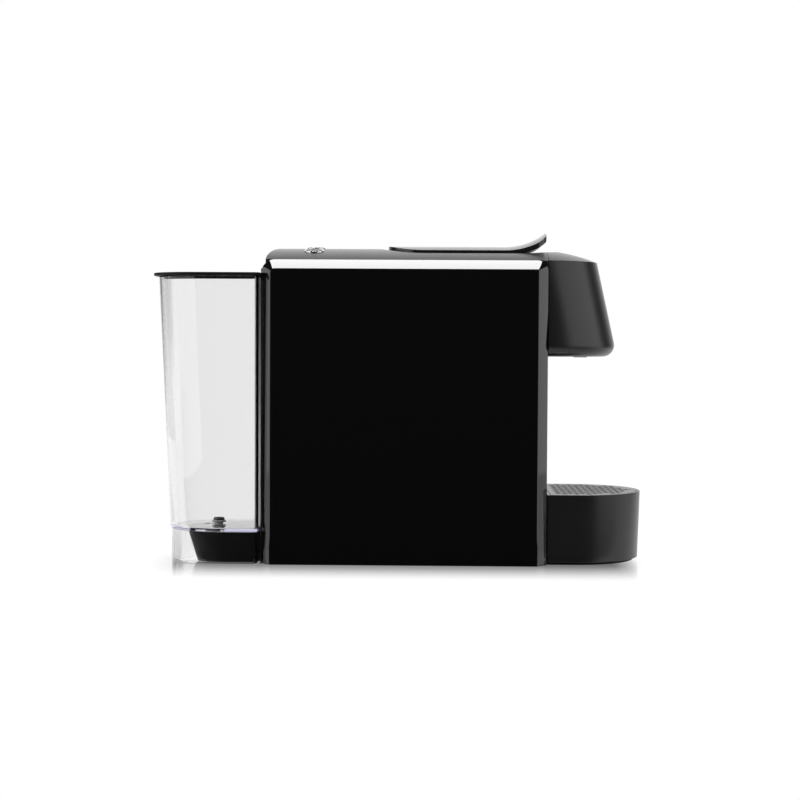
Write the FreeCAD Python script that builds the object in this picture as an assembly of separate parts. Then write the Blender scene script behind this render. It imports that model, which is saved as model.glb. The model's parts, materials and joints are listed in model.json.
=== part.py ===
import FreeCAD, Part
import math
import os

# Pod coffee machine: a glossy box body with a domed top, a rounded brew head over a
# drip-tray drawer, a clear water tank behind and a lever that closes the brew chamber.
# Millimetres. +X is the front, +Z is up, the origin is the middle of the footprint.

# Overall body
BODY_LENGTH = 220.9
BODY_WIDTH = 124.0
BODY_HEIGHT = 235.5
TANK_REACH = 86.8
TRAY_REACH = 77.4
FOOT_HEIGHT = 0.6
FOOT_RADIUS = 8.0
SEAM = 0.3

# Side panels
PANEL_CHAMFER = 7.7
PANEL_WALL = 2.5
PANEL_CORNER = 11.0
PANEL_FRONT_CORNER = 8.5
PANEL_BEVEL_ANGLE = 45.0
LEAST_RADIUS = 0.5

# Base, rear and front walls
BASE_FLOOR = 3.0
BASE_WALL = 2.5
BASE_SIDE_HEIGHT = 40.0
REAR_WALL = 2.5
FRONT_WALL = 2.5
DRAWER_MOUTH = 56.0

# Top cover and its crown
CROWN_RISE = 10.5
COVER_WALL = 2.5
COVER_SKIRT = 7.0
COVER_INSET = 3.6
REAR_ROUND = 10.0
POCKET_DEPTH = 7.0
POCKET_MARGIN = 7.0
POCKET_LIP = 12.0

# Brew head
HEAD_DEPTH = 74.0
HEAD_NOSE_TOP = 41.7
HEAD_NOSE_FLARE = 16.4
HEAD_FLARE_WIDTH = 2.0
HEAD_FILLET = 9.0
HEAD_WALL = 2.5

# Spout and outlet trough
SPOUT_RADIUS = 6.0
SPOUT_WALL = 1.6
SPOUT_DROP = 1.0
SPOUT_REACH = 29.2
TROUGH_HALF = 9.0
TROUGH_WALL = 1.8
TROUGH_HEIGHT = 9.0
TROUGH_FALL = 8.0
TROUGH_LIFT = 8.0

# Lever
LEVER_HALF = 29.0
LEVER_THICK = 2.6
LEVER_CROWN = 3.9
LEVER_GAP = 0.8
LEVER_PIVOT_BACK = 112.3
LEVER_TAIL = 11.7
LEVER_TURN_START = 80.0
LEVER_TURN_RADIUS = 52.2
LEVER_TURN_ANGLE = 38.8
LEVER_TRIM_ANGLE = 6.0
LEVER_TRIM = 2.0
LEVER_FRONT_CORNER = 9.0
PIVOT_DROP = 8.0
PIVOT_PIN_RADIUS = 2.0
HUB_RADIUS = 3.9
HUB_FIT = 0.25
SADDLE_LENGTH = 40.0
SADDLE_HALF = 10.0
SADDLE_THICK = 2.5
CRANK_RADIUS = 24.0
CRANK_SWING = 80.0
CRANK_ARM = 2.5
CRANK_ARM_HALF = 3.9
CRANK_PIN_RADIUS = 2.5
CRANK_SLOT_GAP = 0.75

# Brew unit
CAPSULE_RADIUS = 18.5
BREW_DROP = 38.5
CHAMBER_FRONT = 18.0
INJECTOR_LENGTH = 45.0
INJECTOR_RADIUS = 18.0
INJECTOR_CAVITY = 14.5
INJECTOR_BACK = 20.0
INJECTOR_FLANGE = 5.0
SEAL_THICK = 1.7
NEEDLE_RADIUS = 1.5
NEEDLE_LENGTH = 7.0
NEEDLE_CIRCLE = 7.0
NEEDLE_COUNT = 3
HOLDER_LENGTH = 26.0
HOLDER_CAVITY = 15.5
HOLDER_CAVITY_DEPTH = 6.0
HOLDER_WING = 14.0
HOLDER_WING_HALF = 9.0
EXTRACTION_THICK = 1.5
EXTRACTION_HOLE = 1.6
EXTRACTION_CIRCLE = 9.0
EXTRACTION_COUNT = 8
DRAWBAR_THICK = 2.5
DRAWBAR_END = 6.0
STUD_RADIUS = 2.5
NOZZLE_RADIUS = 4.0
NOZZLE_BORE = 2.4
NOZZLE_REACH = 14.0
PLATE_THICK = 2.5
PLATE_GAP = 1.0
PLATE_DEPTH = 46.0
PLATE_LEG = 18.0
PLATE_TAB = 10.0
EAR_RADIUS = 3.5

# Heater, pump and hoses
THERMO_HEIGHT = 38.0
THERMO_DROP = 20.0
THERMO_CLEAR = 22.0
THERMO_FIN = 2.5
THERMO_FIN_COUNT = 5
THERMOSTAT_RADIUS = 8.0
THERMOSTAT_THICK = 6.0
THERMOSTAT_CLEAR = 1.5
PUMP_RADIUS = 17.0
PUMP_AXIS_HEIGHT = 45.0
PUMP_REAR_ROOM = 20.0
PUMP_FRONT_ROOM = 20.0
PUMP_NIPPLE = 6.0
PUMP_RING = 4.0
MOUNT_WIDTH = 9.0
MOUNT_INSET = 8.0
CRADLE_HALF = 26.0
METER_RADIUS = 12.0
METER_HEIGHT = 17.0
METER_REAR_ROOM = 2.0
HOSE_RADIUS = 3.0
HOSE_BEND = 8.0
HOSE_RUN = 2.0

# Control board and buttons
BOARD_HALF = 40.0
BOARD_THICK = 1.6
BOARD_HEIGHT = 62.0
BOARD_LIFT = 100.0
BOARD_STANDOFF = 5.0
BUTTON_BACK = 39.3
BUTTON_PITCH = 30.0
BUTTON_COUNT = 3
BUTTON_RADIUS = 6.0
BUTTON_PROUD = 1.0
BUTTON_TRAVEL = 1.5
BUTTON_DEPTH = 5.0
BUTTON_STEM = 2.5
BEZEL_RADIUS = 7.75
BEZEL_PROUD = 0.8
BEZEL_DEPTH = 4.5
CARRIER_DROP = 14.0
CARRIER_THICK = 2.0
CARRIER_LENGTH = 34.0
CARRIER_MARGIN = 12.0
CARRIER_POST = 3.0
CARRIER_POST_SHIFT = 0.5
SWITCH_SIZE = 6.5
SWITCH_HEIGHT = 4.0
RUN_GAP = 0.3

# Water tank
TANK_HALF = 58.0
TANK_GAP = 1.7
TANK_OVERHANG = 2.8
TANK_LEAN = 9.1
TANK_DROP = 12.9
TANK_WALL = 2.4
TANK_FLOOR_LEVEL = 24.9
TANK_FLOOR = 2.4
TANK_CORNER = 44.0
TANK_FRONT_CORNER = 5.0
TANK_DRAFT = 1.5
SKIRT_BOTTOM = 0.5
SKIRT_INSET = 0.8
SKIRT_MOUTH = 50.0
TANK_HOOK_HALF = 18.0
TANK_HOOK_HEIGHT = 21.0
LID_THICK = 2.2
LID_PLUG = 3.0
LID_PLUG_WALL = 2.0
LID_GAP = 0.4
LID_CORNER = 36.0
LID_LIP = 1.2
LID_FRONT_CORNER = 5.0
PEDESTAL_INSET = 13.0
PEDESTAL_LEAN = 8.0
PEDESTAL_WALL = 2.5
PEDESTAL_SIDE = 40.0

# Tank valve and socket
VALVE_BACK = 38.4
VALVE_RADIUS = 6.2
VALVE_FLANGE = 9.5
VALVE_FLANGE_THICK = 2.0
VALVE_LENGTH = 8.0
VALVE_BORE = 4.0
POPPET_RADIUS = 3.4
POPPET_STEM = 1.6
POPPET_HEAD = 2.4
SPOOL_RADIUS = 5.6
SPOOL_LIFT = 2.4
SPOOL_DISC = 1.5
SPOOL_NECK = 1.6
SPOOL_CAP_RADIUS = 4.4
SPOOL_CAP = 2.0
SUMP_RADIUS = 12.5
SUMP_DEPTH = 6.0
SOCKET_RADIUS = 12.0
SOCKET_WALL = 2.0
SOCKET_DEPTH = 12.0
SOCKET_SEAL = 1.2

# Drip-tray drawer
TRAY_SHOULDER = 8.0
TRAY_TOP = 55.0
TRAY_WALL = 2.5
TRAY_DRAFT = 1.6
TRAY_FLOOR = 9.0
TRAY_LEDGE = 2.4
PLINTH_HEIGHT = 2.0
PLINTH_INSET = 5.0
TABLE_GAP = 0.5
TRAY_GAP = 0.5
GRILLE_THICK = 2.4
GRILLE_HOLE = 6.4
GRILLE_PITCH = 9.5
GRILLE_MARGIN = 7.0
RUNNER_WALL = 2.5
RUNNER_HEIGHT = 10.0
DRAWER_FLOOR = 1.5
BIN_SIDE = 10.0
BIN_LENGTH = 99.0
BIN_WALL = 1.8
BIN_TOP_GAP = 3.0
BIN_DRAFT = 2.0

# Cord gland and fasteners
GLAND_RADIUS = 5.5
GLAND_BORE = 3.6
GLAND_BACK = 20.0
GLAND_RISE = 9.5
GLAND_FLANGE = 7.5
SCREW_RADIUS = 1.6
SCREW_HEAD_RADIUS = 3.0
SCREW_HEAD = 1.8

# Places worked out from the sizes above
TOTAL_LENGTH = TANK_REACH + BODY_LENGTH + TRAY_REACH
BODY_REAR = TANK_REACH - TOTAL_LENGTH / 2
BODY_FRONT = BODY_REAR + BODY_LENGTH
HALF_WIDTH = BODY_WIDTH / 2
SHELL_HALF = HALF_WIDTH - PANEL_CHAMFER
INSIDE_HALF = SHELL_HALF - SEAM
FLOOR_TOP = FOOT_HEIGHT + BASE_FLOOR
REAR_INSIDE = BODY_REAR + REAR_WALL
FRONT_INSIDE = BODY_FRONT - FRONT_WALL

CROWN_TOP = BODY_HEIGHT + CROWN_RISE
CROWN_RADIUS = (INSIDE_HALF ** 2 + CROWN_RISE ** 2) / (2 * CROWN_RISE)
CROWN_AXIS_Z = CROWN_TOP - CROWN_RADIUS
COVER_BOTTOM = BODY_HEIGHT - COVER_SKIRT
COVER_REAR = BODY_REAR + COVER_INSET
POCKET_FLOOR = CROWN_TOP - POCKET_DEPTH

HEAD_REAR = BODY_FRONT + SEAM
HEAD_TOP_CENTRE = BODY_FRONT + HEAD_NOSE_TOP - INSIDE_HALF
HEAD_BOTTOM = BODY_HEIGHT - HEAD_DEPTH
HEAD_BOTTOM_RADIUS = INSIDE_HALF + HEAD_FLARE_WIDTH
HEAD_BOTTOM_CENTRE = BODY_FRONT + HEAD_NOSE_TOP + HEAD_NOSE_FLARE - HEAD_BOTTOM_RADIUS
SPOUT_X = BODY_FRONT + SPOUT_REACH

PIVOT_X = BODY_FRONT - LEVER_PIVOT_BACK
PIVOT_Z = CROWN_TOP - PIVOT_DROP
LEVER_TOP = CROWN_TOP + LEVER_GAP
LEVER_REAR = PIVOT_X - LEVER_TAIL
LEVER_RADIUS = (LEVER_HALF ** 2 + LEVER_CROWN ** 2) / (2 * LEVER_CROWN)
LEVER_TURN_X = PIVOT_X + LEVER_TURN_START
LEVER_FRONT = LEVER_TURN_X + LEVER_TURN_RADIUS * math.sin(math.radians(LEVER_TURN_ANGLE))
POCKET_HALF = LEVER_HALF + POCKET_MARGIN
POCKET_REAR = LEVER_REAR - POCKET_MARGIN
POCKET_FRONT = BODY_FRONT + POCKET_LIP

BREW_Z = CROWN_TOP - BREW_DROP
CRANK_REST = math.radians(CRANK_SWING / 2)
CRANK_REST_X = PIVOT_X - CRANK_RADIUS * math.sin(CRANK_REST)
CRANK_REST_Z = PIVOT_Z - CRANK_RADIUS * math.cos(CRANK_REST)
BREW_TRAVEL = 2 * CRANK_RADIUS * math.sin(CRANK_REST)
ARM_INNER = CAPSULE_RADIUS + PLATE_GAP
ARM_OUTER = ARM_INNER + CRANK_ARM
BAR_INNER = ARM_OUTER + PLATE_GAP / 2
BAR_OUTER = BAR_INNER + DRAWBAR_THICK
PLATE_INNER = BAR_OUTER + PLATE_GAP
PLATE_OUTER = PLATE_INNER + PLATE_THICK
SEAL_X = PIVOT_X + CHAMBER_FRONT - SEAL_THICK
INJECTOR_FRONT = SEAL_X
INJECTOR_REAR = INJECTOR_FRONT - INJECTOR_LENGTH
HOLDER_REAR = PIVOT_X + CHAMBER_FRONT + SEAM
HOLDER_FRONT = HOLDER_REAR + HOLDER_LENGTH
STUD_X = HOLDER_FRONT - HOLDER_WING / 2
PLATE_BOTTOM = BREW_Z - PLATE_DEPTH

BIN_REAR = FRONT_INSIDE - BIN_LENGTH
BIN_HALF = INSIDE_HALF - BIN_SIDE
NOZZLE_X = HOLDER_FRONT + NOZZLE_REACH
TROUGH_REAR = NOZZLE_X - NOZZLE_RADIUS * 2
TROUGH_FRONT = SPOUT_X + SPOUT_RADIUS + TROUGH_WALL
TROUGH_FRONT_Z = HEAD_BOTTOM + HEAD_WALL + TROUGH_LIFT
THERMO_TOP = BREW_Z - THERMO_DROP
THERMO_BOTTOM = THERMO_TOP - THERMO_HEIGHT
THERMO_REAR = REAR_INSIDE + BOARD_STANDOFF * 2
THERMO_FRONT = INJECTOR_REAR - THERMO_CLEAR
PUMP_REAR = REAR_INSIDE + PUMP_REAR_ROOM
PUMP_FRONT = BIN_REAR - PUMP_FRONT_ROOM
METER_X = REAR_INSIDE + METER_REAR_ROOM + METER_RADIUS

BUTTON_X = BODY_REAR + BUTTON_BACK
BUTTON_MIDDLE = (BUTTON_COUNT - 1) / 2

TANK_RIM = BODY_HEIGHT - TANK_DROP
TANK_FRONT = BODY_REAR - TANK_GAP
TANK_REAR = -TOTAL_LENGTH / 2 + TANK_OVERHANG
TANK_INSIDE_FLOOR = TANK_FLOOR_LEVEL + TANK_FLOOR
PEDESTAL_TOP = TANK_FLOOR_LEVEL - SEAM
VALVE_X = BODY_REAR - VALVE_BACK
SUMP_FLOOR = TANK_INSIDE_FLOOR - SUMP_DEPTH
SUMP_BOTTOM = SUMP_FLOOR - TANK_FLOOR
RECESS_FLOOR = SUMP_BOTTOM - SEAM
RECESS_RADIUS = SUMP_RADIUS + TANK_WALL + 2 * RUN_GAP
VALVE_BOTTOM = SUMP_FLOOR - VALVE_LENGTH
VALVE_TOP = SUMP_FLOOR + VALVE_FLANGE_THICK
SOCKET_BOTTOM = RECESS_FLOOR - SOCKET_DEPTH
HOSE_LEVEL = SOCKET_BOTTOM + SOCKET_WALL + HOSE_RADIUS

TRAY_REAR = BODY_FRONT + TRAY_GAP
TRAY_NOSE = BODY_FRONT + TRAY_REACH
TRAY_RADIUS = HALF_WIDTH - TRAY_SHOULDER
TRAY_CENTRE = TRAY_NOSE - TRAY_RADIUS
PLINTH_TOP = TABLE_GAP + PLINTH_HEIGHT
GRILLE_BOTTOM = TRAY_TOP - GRILLE_THICK
DRAWER_BOTTOM = FLOOR_TOP + RUN_GAP
BIN_BOTTOM = DRAWER_BOTTOM + DRAWER_FLOOR
BIN_TOP = DRAWER_MOUTH - BIN_TOP_GAP
RUNNER_INNER = BIN_HALF + RUN_GAP
RUNNER_OUTER = RUNNER_INNER + RUNNER_WALL

X_AXIS = FreeCAD.Vector(1, 0, 0)
Y_AXIS = FreeCAD.Vector(0, 1, 0)
Z_AXIS = FreeCAD.Vector(0, 0, 1)
TALL = BODY_HEIGHT + CROWN_RISE + LEVER_TURN_RADIUS


def point(x, y, z):
    """A point of the machine's frame."""
    return FreeCAD.Vector(x, y, z)


def block(x_range, y_range, z_range):
    """A box between two bounds on each axis."""
    size = [high - low for low, high in (x_range, y_range, z_range)]
    return Part.makeBox(*size, point(x_range[0], y_range[0], z_range[0]))


def rod(start, radius, length, axis):
    """A round bar from its start point along an axis."""
    return Part.makeCylinder(radius, length, start, axis)


def tube(start, radius, bore, length, axis):
    """A round bar with a round bore right through it."""
    return rod(start, radius, length, axis).cut(rod(start, bore, length, axis))


def both_sides(shape):
    """A piece and its mirror image across the middle plane, as two solids."""
    return Part.makeCompound([shape, shape.mirror(point(0, 0, 0), Y_AXIS)])


def join(shapes):
    """One solid out of pieces that touch or overlap."""
    return shapes[0].fuse(shapes[1:]).removeSplitter()


def polygon(points):
    """A flat face bounded by straight edges."""
    return Part.Face(Part.makePolygon(points + points[:1]))


def rounded_wire(corners, z):
    """A level closed wire through (x, y, radius) corners, each turned by a tangent arc."""
    edges = []
    starts = []
    count = len(corners)
    for index, (x, y, radius) in enumerate(corners):
        here = point(x, y, z)
        before = point(*corners[index - 1][:2], z)
        after = point(*corners[(index + 1) % count][:2], z)
        to_before = (before - here).normalize()
        to_after = (after - here).normalize()
        half_turn = to_before.getAngle(to_after) / 2
        reach = radius / math.tan(half_turn)
        bisector = (to_before + to_after).normalize()
        middle = here + bisector * (radius / math.sin(half_turn) - radius)
        starts.append((here + to_before * reach, middle, here + to_after * reach))
    for index, (start, middle, end) in enumerate(starts):
        edges.append(Part.Arc(start, middle, end).toShape())
        next_start = starts[(index + 1) % count][0]
        edges.append(Part.makeLine(end, next_start))
    return Part.Wire(edges)


def panel_corner(edge, top, inward, radius, y):
    """Three points of a panel's round upper corner: low, middle and high."""
    bow = radius * (1 - math.sqrt(0.5))
    return (point(edge, y, top - radius), point(edge + inward * bow, y, top - bow),
            point(edge + inward * radius, y, top))


def panel_wire(inset, bottom, y):
    """The outline of a side panel, drawn in from its edge, with two round upper corners."""
    rear = BODY_REAR + inset
    front = BODY_FRONT - inset
    top = BODY_HEIGHT - inset
    rear_corner = panel_corner(rear, top, 1, max(PANEL_CORNER - inset, LEAST_RADIUS), y)
    front_corner = panel_corner(front, top, -1, max(PANEL_FRONT_CORNER - inset, LEAST_RADIUS), y)
    edges = [
        Part.makeLine(point(rear, y, bottom), rear_corner[0]),
        Part.Arc(*rear_corner).toShape(),
        Part.makeLine(rear_corner[2], front_corner[2]),
        Part.Arc(*reversed(front_corner)).toShape(),
        Part.makeLine(front_corner[0], point(front, y, bottom)),
        Part.makeLine(point(front, y, bottom), point(rear, y, bottom)),
    ]
    return Part.Wire(edges)


def side_panel():
    """The panel on the +Y side: a moulded pan with a flat face, bevelled at the rear, top and front."""
    outer = Part.makeLoft([panel_wire(0, FOOT_HEIGHT, SHELL_HALF),
                           panel_wire(PANEL_CHAMFER, FOOT_HEIGHT, HALF_WIDTH)], True, True)
    slope_wall = PANEL_WALL / math.sin(math.radians(PANEL_BEVEL_ANGLE))
    depth = PANEL_CHAMFER - PANEL_WALL
    bottom = FOOT_HEIGHT + PANEL_WALL
    inner = Part.makeLoft([panel_wire(slope_wall, bottom, SHELL_HALF),
                           panel_wire(slope_wall + depth, bottom, SHELL_HALF + depth)], True, True)
    return outer.cut(inner)


def right_side_panel():
    """The panel towards -Y, whole."""
    return side_panel().mirror(point(0, 0, 0), Y_AXIS)


def left_side_panel():
    """The panel towards +Y, with a round notch in its lower edge for the cord."""
    notch = rod(point(BODY_REAR + GLAND_BACK, SHELL_HALF, GLAND_RISE), GLAND_RADIUS, PANEL_CHAMFER, Y_AXIS)
    mouth = block(
        (BODY_REAR + GLAND_BACK - GLAND_RADIUS, BODY_REAR + GLAND_BACK + GLAND_RADIUS),
        (SHELL_HALF, HALF_WIDTH), (0, GLAND_RISE))
    return side_panel().cut(notch).cut(mouth)


def tank_wire(z, inset, lean):
    """The tank's plan at one level: round rear corners, drawn in by inset, its rear wall leaning."""
    half = TANK_HALF - inset - TANK_DRAFT * lean
    rear = TANK_REAR + inset + TANK_LEAN * lean
    front = TANK_FRONT - inset
    rear_radius = TANK_CORNER - inset
    front_radius = max(TANK_FRONT_CORNER - inset, LEAST_RADIUS)
    corners = [
        (front, -half, front_radius), (front, half, front_radius),
        (rear, half, rear_radius), (rear, -half, rear_radius),
    ]
    return rounded_wire(corners, z)


def tank_block(inset, bottom, top, lean_low, lean_high):
    """A solid of the tank's plan between two levels."""
    return Part.makeLoft([tank_wire(bottom, inset, lean_low), tank_wire(top, inset, lean_high)], True, True)


def pedestal_wire(z, inset, lean):
    """The tank stand's plan at one level, drawn in from the tank's skirt and run into the body."""
    half = PEDESTAL_SIDE - inset
    rear = TANK_REAR + TANK_LEAN + PEDESTAL_INSET + inset + lean
    radius = TANK_CORNER - PEDESTAL_INSET - inset
    corners = [
        (BODY_REAR, -half, LEAST_RADIUS), (BODY_REAR, half, LEAST_RADIUS),
        (rear, half, radius), (rear, -half, radius),
    ]
    return rounded_wire(corners, z)


def pedestal(inset, bottom, top):
    """The stand below the tank, its rear wall leaning out towards the top."""
    low = pedestal_wire(bottom, inset, PEDESTAL_LEAN)
    return Part.makeLoft([low, pedestal_wire(top, inset, 0)], True, True)


def pump_cradle(x):
    """A post of the base with a round seat for one rubber ring of the pump."""
    post = block((x, x + MOUNT_WIDTH), (-CRADLE_HALF, CRADLE_HALF),
                 (FOOT_HEIGHT, PUMP_AXIS_HEIGHT - PUMP_RADIUS / 2))
    seat = rod(point(x, 0, PUMP_AXIS_HEIGHT), PUMP_RADIUS + PUMP_RING, MOUNT_WIDTH, X_AXIS)
    return post.cut(seat)


def base_pan():
    """The floor of the machine with its low walls, the tank stand and the pump's seats."""
    span = (-INSIDE_HALF, INSIDE_HALF)
    floor = block((BODY_REAR, BODY_FRONT), span, (FOOT_HEIGHT, FLOOR_TOP))
    for x, y in screw_places():
        floor = floor.cut(rod(point(x, y, FOOT_HEIGHT), SCREW_HEAD_RADIUS, SCREW_HEAD, Z_AXIS))
        floor = floor.cut(rod(point(x, y, FOOT_HEIGHT), SCREW_RADIUS, BASE_FLOOR, Z_AXIS))
    rear = block((BODY_REAR, BODY_REAR + BASE_WALL), span, (FOOT_HEIGHT, PEDESTAL_TOP))
    wall = block((REAR_INSIDE, BODY_FRONT), (INSIDE_HALF - BASE_WALL, INSIDE_HALF),
                 (FOOT_HEIGHT, BASE_SIDE_HEIGHT))
    rail = block((BIN_REAR, BODY_FRONT), (RUNNER_OUTER + RUN_GAP, INSIDE_HALF),
                 (FOOT_HEIGHT, FLOOR_TOP + RUNNER_HEIGHT))
    stand = pedestal(0, FOOT_HEIGHT, PEDESTAL_TOP)
    hollow = pedestal(PEDESTAL_WALL, FOOT_HEIGHT, PEDESTAL_TOP - PEDESTAL_WALL)
    recess = rod(point(VALVE_X, 0, RECESS_FLOOR), RECESS_RADIUS, PEDESTAL_TOP - RECESS_FLOOR, Z_AXIS)
    recess_wall = rod(point(VALVE_X, 0, RECESS_FLOOR - PEDESTAL_WALL), RECESS_RADIUS + PEDESTAL_WALL,
                      PEDESTAL_TOP - RECESS_FLOOR + PEDESTAL_WALL, Z_AXIS)
    well = rod(point(VALVE_X, 0, SOCKET_BOTTOM), SOCKET_RADIUS, SOCKET_DEPTH, Z_AXIS)
    hose_way = rod(point(VALVE_X, 0, HOSE_LEVEL), HOSE_RADIUS + RUN_GAP, REAR_INSIDE - VALVE_X, X_AXIS)
    gland_hole = rod(
        point(BODY_REAR + GLAND_BACK, INSIDE_HALF - BASE_WALL, GLAND_RISE), GLAND_RADIUS, BASE_WALL, Y_AXIS)
    pieces = [floor, rear, stand.cut(hollow), recess_wall]
    for side in (wall, rail):
        pieces += [side, side.mirror(point(0, 0, 0), Y_AXIS)]
    pieces += [pump_cradle(x) for x in mount_places()]
    return join(pieces).cut(recess).cut(well).cut(hose_way).cut(gland_hole)


def rear_panel():
    """The flat wall behind the body, with a shelf for the cover and posts for the control board."""
    span = (-INSIDE_HALF, INSIDE_HALF)
    top = COVER_BOTTOM - SEAM
    wall = block((BODY_REAR, REAR_INSIDE), span, (PEDESTAL_TOP, top))
    shelf = block((REAR_INSIDE, COVER_REAR + 2 * COVER_WALL), span, (top - REAR_WALL, top))
    posts = []
    for y in (-BOARD_HALF / 2, BOARD_HALF / 2):
        for z in (BOARD_LIFT + CARRIER_POST, BOARD_LIFT + BOARD_HEIGHT - CARRIER_POST):
            posts.append(rod(point(REAR_INSIDE, y, z), CARRIER_POST, BOARD_STANDOFF, X_AXIS))
    return join([wall, shelf] + posts)


def front_panel():
    """The front wall under the head, open below for the drawer and above for the trough."""
    wall = block((FRONT_INSIDE, BODY_FRONT), (-INSIDE_HALF, INSIDE_HALF),
                 (DRAWER_MOUTH, COVER_BOTTOM - SEAM))
    window_half = TROUGH_HALF + RUN_GAP
    window = block((FRONT_INSIDE, BODY_FRONT), (-window_half, window_half),
                   (HEAD_BOTTOM + HEAD_WALL, BREW_Z))
    return wall.cut(window)


def pocket_face(grow, z):
    """The plan of the lever's pocket, grown outwards by a wall."""
    half = POCKET_HALF + grow
    corners = [
        (POCKET_FRONT + grow, -half, half - LEAST_RADIUS), (POCKET_FRONT + grow, half, half - LEAST_RADIUS),
        (POCKET_REAR - grow, half, half - LEAST_RADIUS), (POCKET_REAR - grow, -half, half - LEAST_RADIUS),
    ]
    return Part.Face(rounded_wire(corners, z))


def crown(wall, rear, front):
    """The space below the domed top: a cylinder along the body that ends in a ball over the head."""
    radius = CROWN_RADIUS - wall
    barrel = rod(point(rear, 0, CROWN_AXIS_Z), radius, HEAD_TOP_CENTRE - rear, X_AXIS)
    ball = Part.makeSphere(radius, point(HEAD_TOP_CENTRE, 0, CROWN_AXIS_Z))
    ball = ball.common(block((HEAD_TOP_CENTRE, front), (-radius, radius), (CROWN_AXIS_Z, CROWN_TOP)))
    return barrel.fuse(ball)


def cover_block(wall):
    """The filled form of the top cover, drawn in by a wall, with its round rear edge."""
    half = INSIDE_HALF - wall
    rear = COVER_REAR + wall
    top = CROWN_TOP - wall
    radius = max(min(REAR_ROUND, CROWN_TOP - COVER_BOTTOM) - wall, LEAST_RADIUS)
    bow = radius * (1 - math.sqrt(0.5))
    edges = [
        Part.makeLine(point(rear, -half, COVER_BOTTOM), point(rear, -half, top - radius)),
        Part.Arc(point(rear, -half, top - radius), point(rear + bow, -half, top - bow),
                 point(rear + radius, -half, top)).toShape(),
        Part.makeLine(point(rear + radius, -half, top), point(BODY_FRONT, -half, top)),
        Part.makeLine(point(BODY_FRONT, -half, top), point(BODY_FRONT, -half, COVER_BOTTOM)),
        Part.makeLine(point(BODY_FRONT, -half, COVER_BOTTOM), point(rear, -half, COVER_BOTTOM)),
    ]
    side = Part.Face(Part.Wire(edges)).extrude(point(0, 2 * half, 0))
    return side.common(crown(wall, BODY_REAR, BODY_FRONT))


def button_turn(shape, index):
    """Carry a piece from the crown's middle line round to one button's place."""
    lean = math.degrees(math.asin((index - BUTTON_MIDDLE) * BUTTON_PITCH / CROWN_RADIUS))
    turned = shape.copy()
    turned.rotate(point(0, 0, CROWN_AXIS_Z), X_AXIS, -lean)
    return turned


def top_cover():
    """The domed cover with the lever's pocket, the capsule opening and three button holes."""
    tub = pocket_face(COVER_WALL, POCKET_FLOOR - COVER_WALL).extrude(point(0, 0, TALL))
    shell = cover_block(0).cut(cover_block(COVER_WALL).cut(tub))
    pocket = pocket_face(0, POCKET_FLOOR).extrude(point(0, 0, TALL))
    mouth_half = PLATE_OUTER + SEAM
    mouth = pocket_face(0, COVER_BOTTOM).extrude(point(0, 0, TALL))
    mouth = mouth.common(block((POCKET_REAR, HOLDER_REAR + BREW_TRAVEL), (-mouth_half, mouth_half),
                               (COVER_BOTTOM, CROWN_TOP)))
    shell = shell.cut(pocket).cut(mouth)
    hole = rod(point(BUTTON_X, 0, CROWN_TOP - BEZEL_DEPTH), BEZEL_RADIUS, BEZEL_DEPTH + BEZEL_PROUD, Z_AXIS)
    for index in range(BUTTON_COUNT):
        shell = shell.cut(button_turn(hole, index))
    return shell


def head_wire(z, centre, radius):
    """The head's plan at one level: an arc round the nose closed by a straight rear edge."""
    half = math.sqrt(radius ** 2 - (HEAD_REAR - centre) ** 2)
    left = point(HEAD_REAR, half, z)
    right = point(HEAD_REAR, -half, z)
    arc = Part.Arc(right, point(centre + radius, 0, z), left).toShape()
    return Part.Wire([arc, Part.makeLine(left, right)])


def head_block(wall):
    """The filled form of the brew head, drawn in by a wall, flaring towards its rounded foot."""
    bottom = HEAD_BOTTOM + wall
    low = head_wire(bottom, HEAD_BOTTOM_CENTRE, HEAD_BOTTOM_RADIUS - wall)
    high = head_wire(BODY_HEIGHT, HEAD_TOP_CENTRE, INSIDE_HALF - wall)
    flared = Part.makeLoft([low, high], True, True)
    low_edges = [edge for edge in flared.Edges if edge.BoundBox.ZMax < bottom + SEAM]
    nose_edges = [edge for edge in low_edges if edge.BoundBox.XLength > SEAM]
    return flared.makeFillet(HEAD_FILLET - wall, nose_edges)


def head_dome(wall):
    """The ball-shaped top of the head above its crease."""
    reach = INSIDE_HALF + HEAD_WALL
    ball = Part.makeSphere(CROWN_RADIUS - wall, point(HEAD_TOP_CENTRE, 0, CROWN_AXIS_Z))
    return ball.common(block((HEAD_REAR, HEAD_TOP_CENTRE + reach), (-reach, reach), (BODY_HEIGHT, CROWN_TOP)))


def head_cover():
    """The brew head: a flared shell with a rounded foot, a domed top and a scoop for the fingers."""
    tub = pocket_face(HEAD_WALL, POCKET_FLOOR - HEAD_WALL).extrude(point(0, 0, TALL))
    inner = head_block(HEAD_WALL).fuse(head_dome(HEAD_WALL)).cut(tub)
    shell = head_block(0).fuse(head_dome(0)).cut(inner)
    pocket = pocket_face(0, POCKET_FLOOR).extrude(point(0, 0, TALL))
    spout_hole = rod(point(SPOUT_X, 0, HEAD_BOTTOM), SPOUT_RADIUS + SEAM, HEAD_WALL, Z_AXIS)
    return shell.cut(pocket).cut(spout_hole)


def coffee_spout():
    """The round outlet below the head."""
    bottom = HEAD_BOTTOM - SPOUT_DROP
    return tube(point(SPOUT_X, 0, bottom), SPOUT_RADIUS, SPOUT_RADIUS - SPOUT_WALL,
                TROUGH_FRONT_Z - bottom, Z_AXIS)


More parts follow.
